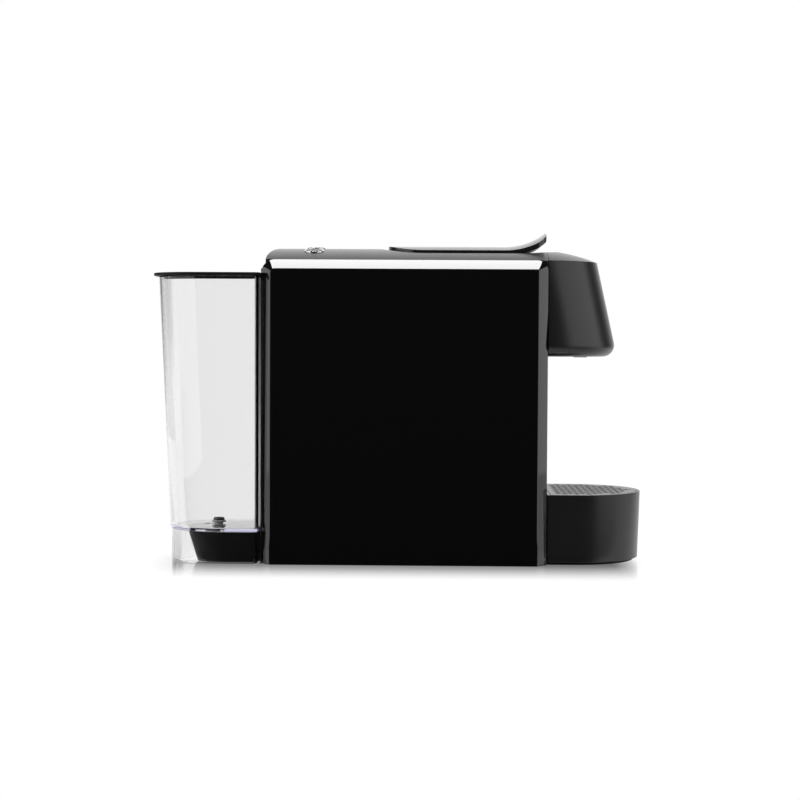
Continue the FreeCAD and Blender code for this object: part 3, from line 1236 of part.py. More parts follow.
def screw_places():
    """Where the screws stand that hold the brew unit's legs to the base."""
    x_places = (THERMO_FRONT - PLATE_LEG + SCREW_HEAD_RADIUS, THERMO_FRONT - SCREW_HEAD_RADIUS)
    reach = PLATE_OUTER + PLATE_TAB / 2
    return [(x, y) for x in x_places for y in (-reach, reach)]


def base_screws():
    """The screws through the base into the brew unit's legs, their heads sunk into its underside."""
    screws = []
    for x, y in screw_places():
        head = rod(point(x, y, FOOT_HEIGHT), SCREW_HEAD_RADIUS, SCREW_HEAD, Z_AXIS)
        shank = rod(point(x, y, FOOT_HEIGHT), SCREW_RADIUS, BASE_FLOOR + PLATE_THICK + SCREW_HEAD, Z_AXIS)
        screws.append(join([head, shank]))
    return Part.makeCompound(screws)


def button_part(index):
    """A builder for one of the push buttons."""
    return lambda: push_button(index)


PIECES = {
    "base_pan": base_pan,
    "left_side_panel": left_side_panel,
    "right_side_panel": right_side_panel,
    "rear_panel": rear_panel,
    "front_panel": front_panel,
    "top_cover": top_cover,
    "head_cover": head_cover,
    "coffee_spout": coffee_spout,
    "outlet_trough": outlet_trough,
    "left_brew_plate": left_brew_plate,
    "right_brew_plate": right_brew_plate,
    "lever_pin": lever_pin,
    "injector_block": injector_block,
    "injector_seal": injector_seal,
    "piercing_pins": piercing_pins,
    "thermoblock": thermoblock,
    "thermostat": thermostat,
    "pump": pump,
    "pump_mounts": pump_mounts,
    "flow_meter": flow_meter,
    "inlet_hose": inlet_hose,
    "suction_hose": suction_hose,
    "pressure_hose": pressure_hose,
    "brew_hose": brew_hose,
    "control_board": control_board,
    "switch_carrier": switch_carrier,
    "button_switches": button_switches,
    "button_bezels": button_bezels,
    "tank_socket": tank_socket,
    "socket_seal": socket_seal,
    "cord_gland": cord_gland,
    "rubber_feet": rubber_feet,
    "base_screws": base_screws,
    "lever_blade": lever_blade,
    "lever_hub": lever_hub,
    "crank_pins": crank_pins,
    "capsule_holder": capsule_holder,
    "extraction_plate": extraction_plate,
    "holder_nozzle": holder_nozzle,
    "water_tank": water_tank,
    "tank_lid": tank_lid,
    "valve_body": valve_body,
    "valve_poppet": valve_poppet,
    "drip_tray": drip_tray,
    "tray_plinth": tray_plinth,
    "drip_grille": drip_grille,
    "capsule_bin": capsule_bin,
}

BUTTON_NAMES = ("right_button", "middle_button", "left_button")


def main():
    """Write every piece of the machine to its own file."""
    os.makedirs("parts", exist_ok=True)
    pieces = dict(PIECES)
    for index, name in enumerate(BUTTON_NAMES):
        pieces[name] = button_part(index)
    for name, make in pieces.items():
        make().exportStep(f"parts/{name}.step")


main()
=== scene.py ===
import json
import math

import bmesh
import bpy
import numpy as np
from mathutils import Euler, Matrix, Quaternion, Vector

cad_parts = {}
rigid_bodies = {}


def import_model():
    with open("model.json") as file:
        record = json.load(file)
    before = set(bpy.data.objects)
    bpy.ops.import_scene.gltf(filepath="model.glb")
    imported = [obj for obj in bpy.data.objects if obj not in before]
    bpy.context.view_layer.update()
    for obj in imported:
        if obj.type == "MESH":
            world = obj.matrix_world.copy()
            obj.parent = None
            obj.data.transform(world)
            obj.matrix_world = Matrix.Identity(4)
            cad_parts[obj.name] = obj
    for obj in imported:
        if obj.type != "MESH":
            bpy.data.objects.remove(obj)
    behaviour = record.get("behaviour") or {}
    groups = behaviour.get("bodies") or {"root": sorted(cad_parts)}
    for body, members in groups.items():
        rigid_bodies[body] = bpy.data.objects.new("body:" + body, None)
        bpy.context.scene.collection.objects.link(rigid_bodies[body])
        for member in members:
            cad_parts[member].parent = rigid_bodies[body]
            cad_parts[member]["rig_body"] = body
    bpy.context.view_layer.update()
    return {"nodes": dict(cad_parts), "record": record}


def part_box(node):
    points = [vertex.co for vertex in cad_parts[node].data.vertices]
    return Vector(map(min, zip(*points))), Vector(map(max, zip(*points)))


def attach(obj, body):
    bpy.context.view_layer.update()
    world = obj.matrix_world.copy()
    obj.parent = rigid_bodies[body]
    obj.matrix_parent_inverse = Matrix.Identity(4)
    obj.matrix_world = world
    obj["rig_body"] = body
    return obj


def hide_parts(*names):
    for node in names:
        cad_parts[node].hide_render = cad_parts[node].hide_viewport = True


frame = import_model()

bl_info = {
    "name": "Pod coffee machine",
    "version": (1, 0, 0),
    "blender": (4, 5, 0),
    "location": "View3D > Sidebar > Pod machine",
    "description": "Dresses the packed pod coffee machine with moulded surfaces, finishes and a studio",
    "category": "Object",
}

MM = 0.001
MICRON = 0.000001
QUARTER = math.pi / 2
TURN = 2 * math.pi


# Properties


def length(title, note, millimetres):
    """A length for the sidebar, with its default given in millimetres."""
    return bpy.props.FloatProperty(
        name=title, description=note, default=millimetres * MM, min=0.0, subtype="DISTANCE", unit="LENGTH")


def amount(title, note, default):
    """A plain number for the sidebar."""
    return bpy.props.FloatProperty(name=title, description=note, default=default, min=0.0)


def angle(title, note, degrees):
    """An angle for the sidebar, with its default given in degrees."""
    return bpy.props.FloatProperty(
        name=title, description=note, default=math.radians(degrees), subtype="ANGLE", unit="ROTATION")


def shade(title, note, red, green, blue):
    """A colour for the sidebar."""
    return bpy.props.FloatVectorProperty(
        name=title, description=note, default=(red, green, blue), size=3, min=0.0, max=1.0, subtype="COLOR")


class PodMachineSizes(bpy.types.PropertyGroup):
    """Sizes of the moulded details."""

    edge: length("Edge round", "Round of the moulded edges", 0.45)
    bevel: length("Panel bevel", "Width of the bevel round a side panel", 7.7)
    panel_wall: length("Panel wall", "Thickness of a side panel", 2.5)
    panel_corner: length("Panel rear corner", "Radius of a side panel's upper rear corner", 11.0)
    panel_front_corner: length("Panel front corner", "Radius of a side panel's upper front corner", 8.5)
    panel_low_corner: length("Panel low corners", "Radius of a side panel's lower corners", 2.0)
    lever_thick: length("Lever thickness", "Thickness of the lever's blade", 3.8)
    lever_rise: length("Lever rise", "Height of the lever's middle over the cover", 2.0)
    lever_crown: length("Lever crown", "Height of the lever's middle over its edges", 3.9)
    lever_turn: length("Lever turn", "Radius of the lever's turned-up front", 54.0)
    lever_flat: length("Lever flat", "Length of the lever's straight run", 91.7)
    lever_edge: length("Lever edge", "Depth of the lever's squared edges", 0.25)
    lever_corner: length("Lever corner", "Radius of the lever's front corners", 9.0)
    tank_wall: length("Tank wall", "Thickness of the tank's wall", 2.4)
    tank_lean: length("Tank lean", "How far the tank's rear wall leans in towards its floor", 9.1)
    tank_draft: length("Tank draft", "How far the tank's sides draw in towards its floor", 1.5)
    tank_corner: length("Tank rear corner", "Radius of the tank's rear corners", 44.0)
    tank_front_corner: length("Tank front corner", "Radius of the tank's front corners", 5.0)
    tank_floor: length("Tank floor", "Thickness of the tank's floor", 2.4)
    tank_floor_level: length("Tank floor level", "Height of the underside of the tank's floor", 24.9)
    sump_radius: length("Sump radius", "Radius of the sunken seat of the tank's valve", 12.5)
    sump_depth: length("Sump depth", "Depth of the sunken seat of the tank's valve", 6.0)
    valve_hole: length("Valve hole", "Radius of the hole for the tank's valve", 6.2)
    skirt_inset: length("Skirt inset", "Step between the tank's wall and its skirt", 0.8)
    skirt_mouth: length("Skirt mouth", "Half the opening in the front of the skirt", 50.0)
    hook_reach: length("Hook reach", "Reach of the tank's hook towards the body", 1.3)
    hook_half: length("Hook half width", "Half the width of the tank's hook", 18.0)
    hook_height: length("Hook height", "Height of the tank's hook", 21.0)
    valve_cap: length("Valve cap", "Radius of the cap on the valve's plug", 4.6)
    valve_cap_depth: length("Valve cap depth", "How far that cap reaches below the plug's top", 1.9)
    spout_wall: length("Spout wall", "Thickness of the outlet's wall", 1.6)
    grille_edge: length("Grille edge", "Round of the grille's punched edges", 0.03)
    button_cap: length("Button cap", "Radius of a button's cap", 6.0)
    button_rise: length("Button rise", "Height of a button's cap over the cover", 1.0)
    button_depth: length("Button depth", "How far a button's cap reaches below the cover", 5.0)
    button_dish: length("Button dish", "Depth of the hollow in a button's cap", 0.5)
    button_stem: length("Button stem", "Radius of a button's stem", 2.5)
    ring_gap: length("Ring gap", "Gap between a button's cap and its ring", 0.4)
    ring_rise: length("Ring rise", "Height of a ring over the cover", 0.8)
    ring_depth: length("Ring depth", "How far a ring reaches below the cover", 4.4)


class PodMachineColours(bpy.types.PropertyGroup):
    """Colours of the finishes."""

    gloss_black: shade("Gloss black", "Side panels", 0.0025, 0.0025, 0.0028)
    satin_charcoal: shade("Satin charcoal", "Cover, head and tray", 0.009, 0.009, 0.0096)
    satin_black: shade("Satin black", "Lever and lid", 0.008, 0.008, 0.0085)
    matte_black: shade("Matte black", "Base and inner mouldings", 0.006, 0.006, 0.006)
    clear_plastic: shade("Clear plastic", "Water tank", 0.970, 0.969, 0.966)
    clear_depth: shade("Clear plastic depth", "What a thick run of clear plastic turns to", 0.50, 0.50, 0.86)
    white_plastic: shade("White plastic", "Valve and nozzle", 0.62, 0.62, 0.61)
    bright_chrome: shade("Bright chrome", "Rings round the buttons", 0.80, 0.80, 0.82)
    bare_steel: shade("Bare steel", "Plates and pins", 0.55, 0.55, 0.56)
    dark_grille: shade("Dark grille", "Drip grille", 0.012, 0.012, 0.0125)
    cast_aluminium: shade("Cast aluminium", "Heater block", 0.60, 0.60, 0.62)
    black_rubber: shade("Black rubber", "Feet, seals and mounts", 0.015, 0.015, 0.015)
    silicone_hose: shade("Silicone hose", "Hoses", 0.70, 0.70, 0.66)
    circuit_board: shade("Circuit board", "Control board", 0.010, 0.085, 0.030)
    floor: shade("Floor", "Studio floor", 0.06, 0.06, 0.06)


class PodMachineStudio(bpy.types.PropertyGroup):
    """Camera and lamps."""

    distance: length("Camera distance", "From the camera to the middle of the machine", 1400.0)
    height: length("Camera height", "Height of the camera", 175.0)
    aim: length("Camera aim", "Where the camera's axis meets the machine, along it", 0.75)
    yaw: angle("Camera yaw", "Turn of the camera towards the machine's front", 1.0)
    pitch: angle("Camera pitch", "How far the camera looks down", 2.015)
    roll: angle("Camera roll", "Roll of the camera", 0.3)
    lens: amount("Lens", "Focal length in millimetres on a 36 mm sensor", 78.75)
    ambient: amount("Ambient", "Strength of the light from all round", 0.75)
    top_lamp: amount("Top lamp", "Brightness of the softbox overhead", 14.0)
    side_lamp: amount("Side lamps", "Brightness of the softboxes at both ends", 1.5)
    back_lamp: amount("Back lamp", "Brightness of the softbox high behind the machine", 0.45)
    floor_glow: amount("Floor white", "Share of the floor's white that no shadow takes away", 0.955)
    floor_mirror: amount("Floor mirror", "Share of the near floor's light that is a reflection", 0.85)


def sizes():
    """The sizes now set in the sidebar."""
    return bpy.context.scene.pod_machine_sizes


def colours():
    """The colours now set in the sidebar."""
    return bpy.context.scene.pod_machine_colours


def studio():
    """The studio settings of the sidebar."""
    return bpy.context.scene.pod_machine_studio


# Surfaces

BEND_STEPS = 5
BEVEL_STEPS = 2
MERGE_DIGITS = 7
FLAT_ANGLE = math.radians(0.4)
NODE_CREASE = math.radians(30.0)
SKIN_CREASE = math.radians(35.0)
SQUARENESS = 0.35


def soft_path(corners, cuts, closed=False):
    """Straight legs with rounded corners.

    Each corner C is replaced by the parabola (1-t)^2 A + 2t(1-t) C + t^2 B, where A and B lie one cut away
    from C on the legs before and after it. An open path keeps its two end points.
    """
    corners = np.asarray(corners, float)
    bends = slice(None) if closed else slice(1, -1)
    middle = corners[bends]
    back = np.roll(corners, 1, axis=0)[bends] - middle
    ahead = np.roll(corners, -1, axis=0)[bends] - middle
    reach = np.broadcast_to(np.asarray(cuts, float), len(middle))[:, None]
    start = middle + back * reach / np.linalg.norm(back, axis=1, keepdims=True)
    end = middle + ahead * reach / np.linalg.norm(ahead, axis=1, keepdims=True)
    t = np.linspace(0, 1, BEND_STEPS)[None, :, None]
    bend = (1 - t) ** 2 * start[:, None] + 2 * t * (1 - t) * middle[:, None] + t ** 2 * end[:, None]
    bend = bend.reshape(-1, corners.shape[1])
    if closed:
        return bend
    return np.concatenate([corners[:1], bend, corners[-1:]])


def round_box(low_a, high_a, low_b, high_b, radii, arc=14):
    """Loops of rounded rectangles, one a row: a corner's centre plus its radius times (cos, sin).

    The bounds are arrays with one value a row, and radii has four columns, counter-clockwise from the
    corner where both coordinates are highest.
    """
    sweep = np.linspace(0, QUARTER, arc)[None, None, :] + QUARTER * np.arange(4)[None, :, None]
    first, second, third, fourth = radii.T
    centre_a = np.stack([high_a - first, low_a + second, low_a + third, high_a - fourth], axis=1)
    centre_b = np.stack([high_b - first, high_b - second, low_b + third, low_b + fourth], axis=1)
    a = centre_a[:, :, None] + radii[:, :, None] * np.cos(sweep)
    b = centre_b[:, :, None] + radii[:, :, None] * np.sin(sweep)
    return a.reshape(len(a), -1), b.reshape(len(b), -1)


def lathe(profile, x, around=64):
    """A profile of (radius, height) rows turned about the upright axis at x in the middle plane."""
    turn = np.linspace(0, TURN, around, endpoint=False)[None, :]
    radius = profile[:, :1]
    height = np.broadcast_to(profile[:, 1:], (len(profile), around))
    return np.stack([x + radius * np.cos(turn), radius * np.sin(turn), height], axis=-1)


def quads_of(rows, columns, looped=False):
    """Corner numbers of a grid's faces, closed round its columns and, where looped, round its rows."""
    index = np.arange(rows * columns).reshape(rows, columns)
    index = np.concatenate([index, index[:, :1]], axis=1)
    if looped:
        index = np.concatenate([index, index[:1]], axis=0)
    corners = [index[:-1, :-1], index[:-1, 1:], index[1:, 1:], index[1:, :-1]]
    return np.stack(corners, axis=-1)


def outward(points, faces):
    """The faces, turned round if the volume that they enclose is negative.

    That volume is a sixth of the sum of the triple products of each face's fan of triangles.
    """
    total = 0.0
    for size in sorted({len(face) for face in faces}):
        group = points[np.array([face for face in faces if len(face) == size])]
        first = group[:, :1]
        products = np.einsum("ijk,ijk->ij", np.cross(first, group[:, 1:-1]), group[:, 2:])
        total += products.sum()
    if total < 0:
        return [face[::-1] for face in faces]
    return faces


def shown(name, mesh, body, slot, nodes):
    """Put a finished mesh into the scene: smooth, riding on its body, in place of its nodes."""
    mesh.validate()
    mesh.polygons.foreach_set("use_smooth", np.ones(len(mesh.polygons), bool))
    piece = bpy.data.objects.new(name, mesh)
    bpy.context.scene.collection.objects.link(piece)
    mesh.materials.append(finish(slot))
    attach(piece, body)
    if nodes:
        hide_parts(*nodes)
    return piece


def skin(name, grid, body, slot, nodes=(), looped=False, drop=None, extra=()):
    """A piece from a grid of points whose rows follow a profile and whose columns go round it.

    One flat face closes each end row, unless the rows are looped. drop marks faces that are left out, and
    extra lists faces by corner number that close what they leave open.
    """
    rows, columns = grid.shape[:2]
    points = grid.reshape(-1, 3)
    quads = quads_of(rows, columns, looped)
    if drop is not None:
        quads = quads[~drop]
    faces = quads.reshape(-1, 4).tolist() + list(extra)
    if not looped:
        faces += [list(range(columns - 1, -1, -1)), list(range((rows - 1) * columns, rows * columns))]
    faces = outward(points, faces)
    mesh = bpy.data.meshes.new(name)
    mesh.from_pydata(points.tolist(), [], faces)
    mesh.set_sharp_from_angle(angle=SKIN_CREASE)
    return shown(name, mesh, body, slot, nodes)


def dressed(node, name, slot, edge):
    """A copy of a node's mesh in its place: merged, flat parts made whole, edges rounded by a live bevel."""
    source = frame["nodes"][node]
    triangles = len(source.data.polygons)
    points = np.zeros(len(source.data.vertices) * 3)
    source.data.vertices.foreach_get("co", points)
    corners = np.zeros(triangles * 3, int)
    source.data.polygons.foreach_get("vertices", corners)
    points = points.reshape(-1, 3)
    _, first, same = np.unique(
        np.round(points, MERGE_DIGITS), axis=0, return_index=True, return_inverse=True)
    faces = same.ravel()[corners].reshape(-1, 3)
    whole = (faces != np.roll(faces, 1, axis=1)).all(axis=1)
    mesh = bpy.data.meshes.new(name)
    mesh.from_pydata(points[first].tolist(), [], faces[whole].tolist())
    work = bmesh.new()
    work.from_mesh(mesh)
    bmesh.ops.dissolve_limit(work, angle_limit=FLAT_ANGLE, verts=work.verts, edges=work.edges)
    work.to_mesh(mesh)
    work.free()
    mesh.set_sharp_from_angle(angle=NODE_CREASE)
    piece = shown(name, mesh, source["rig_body"], slot, (node,))
    bevel = piece.modifiers.new("edge round", "BEVEL")
    bevel.width = edge
    bevel.segments = BEVEL_STEPS
    bevel.limit_method = "ANGLE"
    bevel.angle_limit = NODE_CREASE
    bevel.harden_normals = True


def corners_of(node):
    """A node's lowest and highest corners as arrays."""
    low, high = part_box(node)
    return np.array(low), np.array(high)


def crown():
    """Radius and axis height of the domed cover, from its half width and its rise over the panels."""
    high = corners_of("top_cover")[1]
    rise = high[2] - corners_of("right_side_panel")[1][2]
    radius = (high[1] ** 2 + rise ** 2) / (2 * rise)
    return radius, high[2] - radius


# Finishes

CLOUD_SCALE, CLOUD_DETAIL = 23.0, 4.0
SPECK_SHARE, SPECK_DETAIL = 0.31, 3.0
FACING_UP = 0.7


class Flow:
    """An output socket of a node tree. Arithmetic on flows adds Math nodes."""

    def __init__(self, tree, socket=None):
        self.tree = tree
        self.socket = socket

    def add(self, kind, settings=None, values=None, out=0):
        """Add a node: its settings are set first, then each named input gets its value or link."""
        node = self.tree.nodes.new(kind)
        for key, value in (settings or {}).items():
            if key == "stops":
                for stop, (place, colour) in zip(node.color_ramp.elements, value):
                    stop.position = place
                    stop.color = colour
            else:
                setattr(node, key, value)
        for key, value in (values or {}).items():
            if isinstance(value, Flow):
                self.tree.links.new(value.socket, node.inputs[key])
            else:
                node.inputs[key].default_value = value
        return Flow(self.tree, node.outputs[out] if len(node.outputs) else None)

    def maths(self, operation, first, second):
        """One Math node on two values or flows."""
        return self.add("ShaderNodeMath", {"operation": operation}, {0: first, 1: second})

    def __add__(self, other):
        return self.maths("ADD", self, other)

    __radd__ = __add__

    def __sub__(self, other):
        return self.maths("SUBTRACT", self, other)

    def __rsub__(self, other):
        return self.maths("SUBTRACT", other, self)

    def __mul__(self, other):
        return self.maths("MULTIPLY", self, other)

    __rmul__ = __mul__

    def __gt__(self, other):
        return self.maths("GREATER_THAN", self, other)

    def __lt__(self, other):
        return self.maths("LESS_THAN", self, other)


def new_tree(name):
    """An empty material with its node tree's flow."""
    material = bpy.data.materials.new(name)
    material.use_nodes = True
    material.node_tree.nodes.clear()
    return material, Flow(material.node_tree)


def noise(flow, place, scale, detail=2.0):
    """A noise value in the piece's own coordinates."""
    return flow.add("ShaderNodeTexNoise", {}, {"Vector": place, "Scale": scale, "Detail": detail})


def along(flow, vector, axis):
    """One coordinate of a vector."""
    return flow.add("ShaderNodeSeparateXYZ", {}, {"Vector": vector}, out=axis)


def ramp(flow, value, start, end, low=0.0, high=1.0):
    """A value that eases from low to high while another goes from start to end."""
    return flow.add("ShaderNodeMapRange", {"interpolation_type": "SMOOTHSTEP"}, {
        "Value": value, "From Min": start, "From Max": end, "To Min": low, "To Max": high})


def greatest(first, second):
    """The greater of two flows."""
    return first.maths("MAXIMUM", first, second)


def sight(flow):
    """Three flows: whether the eye, the eye through clear plastic or a gloss looks on."""
    kinds = ("Camera", "Transmission", "Glossy")
    return [flow.add("ShaderNodeLightPath", out=f"Is {kind} Ray") for kind in kinds]


def blend(flow, factor, first, second):
    """A mix of two colours."""
    return flow.add("ShaderNodeMix", {"data_type": "RGBA"}, {0: factor, 6: first, 7: second}, out=2)


def tone(colour, factor):
    """A colour made lighter or darker, as a shader colour."""
    return (*[min(channel * factor, 1.0) for channel in colour], 1.0)


def plastic(name, colour, rough, spread, grain, depth, mottle=0.25, shine=0.5, metal=0.0, index=1.5,
            stretch=(1.0, 1.0, 1.0), dull=0.0):
    """A finish with a fine grain in its relief and slow clouds in its colour and roughness.

    grain is the number of grains a metre, depth their height in micrometres, spread the swing of the
    roughness and mottle that of the colour. stretch scales the grain along each axis, for brushed metal.
    dull is added to the roughness of the walls that a punch leaves, which don't face up.
    """
    material, flow = new_tree(name)
    place = flow.add("ShaderNodeTexCoord", out="Object")
    cloud = noise(flow, place, CLOUD_SCALE, CLOUD_DETAIL)
    run = flow.add("ShaderNodeMapping", {"vector_type": "POINT"}, {"Vector": place, "Scale": stretch})
    fine = noise(flow, run, grain)
    speck = noise(flow, run, grain * SPECK_SHARE, SPECK_DETAIL)
    grains = fine * 0.65 + speck * 0.35
    relief = flow.add("ShaderNodeBump", {}, {
        "Strength": 1.0, "Distance": depth * MICRON, "Height": grains})
    base = blend(flow, cloud * 0.6 + speck * 0.4, tone(colour, 1 - mottle), tone(colour, 1 + mottle))
    roughness = rough + (cloud - 0.5) * spread + (speck - 0.5) * spread
    if dull:
        facing = along(flow, flow.add("ShaderNodeTexCoord", out="Normal"), "Z")
        roughness = roughness + (1 - (facing > FACING_UP)) * dull
    shader = flow.add("ShaderNodeBsdfPrincipled", {}, {
        "Base Color": base, "Roughness": roughness, "Normal": relief, "Specular IOR Level": shine,
        "Metallic": metal, "IOR": index})
    flow.add("ShaderNodeOutputMaterial", {}, {"Surface": shader})
    return material


def clear(name, colour, deep):
    """Clear plastic: a smooth wall with faint marks, which tints along its depth."""
    material, flow = new_tree(name)
    place = flow.add("ShaderNodeTexCoord", out="Object")
    cloud = noise(flow, place, 30.0, 3.0)
    marks = noise(flow, place, 700.0, 2.0)
    roughness = 0.012 + cloud * 0.02
    relief = flow.add("ShaderNodeBump", {}, {
        "Strength": 0.3, "Distance": 20 * MICRON, "Height": marks})
    shader = flow.add("ShaderNodeBsdfPrincipled", {}, {
        "Base Color": tone(colour, 1.0), "Roughness": roughness, "IOR": 1.49, "Transmission Weight": 1.0,
        "Normal": relief})
    depth = flow.add("ShaderNodeVolumeAbsorption", {}, {"Color": tone(deep, 1.0), "Density": 7.0})
    flow.add("ShaderNodeOutputMaterial", {}, {"Surface": shader, "Volume": depth})
    return material


def printed_board(name, colour):
    """A lacquered board: paler copper runs under the lacquer, in a fine square pattern."""
    material, flow = new_tree(name)
    place = flow.add("ShaderNodeTexCoord", out="Object")
    runs = flow.add("ShaderNodeTexBrick", {}, {
        "Vector": place, "Scale": 90.0, "Mortar Size": 0.05, "Color1": (0, 0, 0, 1), "Color2": (0, 0, 0, 1),
        "Mortar": (1, 1, 1, 1)}, out="Fac")
    cloud = noise(flow, place, 40.0)
    base = blend(flow, runs * 0.6 + cloud * 0.3, tone(colour, 1.0), tone(colour, 2.6))
    shader = flow.add("ShaderNodeBsdfPrincipled", {}, {"Base Color": base, "Roughness": 0.25 + cloud * 0.2})
    flow.add("ShaderNodeOutputMaterial", {}, {"Surface": shader})
    return material


LOOKS = {
    "gloss_black": dict(rough=0.045, spread=0.02, grain=260.0, depth=0.8, mottle=0.1, index=1.58),
    "satin_charcoal": dict(rough=0.30, spread=0.06, grain=2400.0, depth=14.0, shine=0.43),
    "satin_black": dict(rough=0.22, spread=0.06, grain=2600.0, depth=6.0),
    "matte_black": dict(rough=0.50, spread=0.08, grain=1900.0, depth=30.0, shine=0.12),
    "white_plastic": dict(rough=0.38, spread=0.06, grain=1500.0, depth=10.0, mottle=0.05),
    "bright_chrome": dict(rough=0.24, spread=0.04, grain=900.0, depth=1.0, mottle=0.05, metal=1.0),
    "bare_steel": dict(rough=0.32, spread=0.12, grain=500.0, depth=10.0, mottle=0.12, metal=1.0,
                       stretch=(1.0, 12.0, 12.0)),
    "dark_grille": dict(rough=0.24, spread=0.05, grain=2200.0, depth=8.0, shine=0.10, dull=0.6),
    "cast_aluminium": dict(rough=0.46, spread=0.1, grain=900.0, depth=60.0, mottle=0.1, metal=1.0),
    "black_rubber": dict(rough=0.78, spread=0.1, grain=1300.0, depth=40.0),
    "silicone_hose": dict(rough=0.30, spread=0.08, grain=700.0, depth=10.0, mottle=0.08),
}


def finish(slot):
    """The material of one of the machine's finishes, made when it is first asked for."""
    name = "finish_" + slot
    known = bpy.data.materials.get(name)
    if known:
        return known
    colour = getattr(colours(), slot)
    if slot == "clear_plastic":
        return clear(name, colour, colours().clear_depth)
    if slot == "circuit_board":
        return printed_board(name, colour)
    return plastic(name, colour, **LOOKS[slot])


# Operators


class PodOperator(bpy.types.Operator):
    """What the machine's operators share."""

    bl_options = {"REGISTER", "UNDO"}


class POD_OT_finishes(PodOperator):
    """Give every node that is carried over its finish."""

    bl_idname = "pod_machine.finishes"
    bl_label = "Finishes"

    def execute(self, context):
        """Assign each node the material of the slot that the record gives it."""
        for row in frame["record"]["subparts"]:
            source = frame["nodes"][row["node"]]
            source.data.materials.clear()
            source.data.materials.append(finish(row["material_slot"]))
        return {"FINISHED"}


class POD_OT_side_panels(PodOperator):
    """Make the two bevelled side panels."""

    bl_idname = "pod_machine.side_panels"
    bl_label = "Side panels"

    def execute(self, context):
        """Carry the panel's wall section round its outline, which shrinks by the section's inset and lift."""
        size = sizes()
        low, high = corners_of("right_side_panel")
        rim, face = high[1], low[1]
        wall, run, least = size.panel_wall, 4 * MM, 0.6 * MM
        slope = wall * math.sqrt(2)
        inner = size.bevel - wall
        rounds = np.array([0.3, 0.3, 0.35, 0.6]) * MM
        section = soft_path([
            (slope + inner + run, rim - inner, wall + run), (slope + inner, rim - inner, wall),
            (slope, rim, wall), (0, rim, 0), (size.bevel, face, 0), (size.bevel + run, face, run),
        ], rounds)
        inset, depth, lift = section.T
        corner = np.array([
            size.panel_front_corner, size.panel_corner, size.panel_low_corner, size.panel_low_corner])
        radii = np.maximum(corner[None, :] - inset[:, None], least)
        x, z = round_box(low[0] + inset, high[0] - inset, low[2] + lift, high[2] - inset, radii)
        grid = np.stack([x, np.broadcast_to(depth[:, None], x.shape), z], axis=-1)
        skin("right_panel_skin", grid, "housing", "gloss_black", ("right_side_panel",))
        dressed("left_side_panel", "left_panel_skin", "gloss_black", size.edge)
        return {"FINISHED"}


class POD_OT_shell(PodOperator):
    """Make the cover, the end walls and the base."""

    bl_idname = "pod_machine.shell"
    bl_label = "Cover, walls and base"

    def execute(self, context):
        """Round the edges of the moulded shells."""
        edge = sizes().edge
        dressed("top_cover", "cover_shell", "satin_charcoal", edge)
        dressed("rear_panel", "rear_wall", "matte_black", edge)
        dressed("front_panel", "front_wall", "matte_black", edge)
        dressed("base_pan", "base_moulding", "matte_black", edge)
        return {"FINISHED"}


class POD_OT_head(PodOperator):
    """Make the brew head and its outlet."""

    bl_idname = "pod_machine.head"
    bl_label = "Brew head"

    def execute(self, context):
        """Round the head's shell and turn the outlet."""
        size = sizes()
        dressed("head_cover", "head_shell", "satin_charcoal", size.edge)
        low, high = corners_of("coffee_spout")
        radius = (high[0] - low[0]) / 2
        wall = size.spout_wall
        section = soft_path([
            (radius - wall, high[2]), (radius - wall, low[2] + wall), (radius - wall / 2, low[2]),
            (radius, low[2] + wall), (radius, high[2]),
        ], wall / 4, closed=True)
        lip = lathe(section, (high[0] + low[0]) / 2)
        skin("outlet_lip", lip, "housing", "matte_black", ("coffee_spout",), looped=True)
        return {"FINISHED"}


def squared(values):
    """Values between -1 and 1 raised to a small power with their sign kept, which squares an arc."""
    return np.sign(values) * np.abs(values) ** SQUARENESS


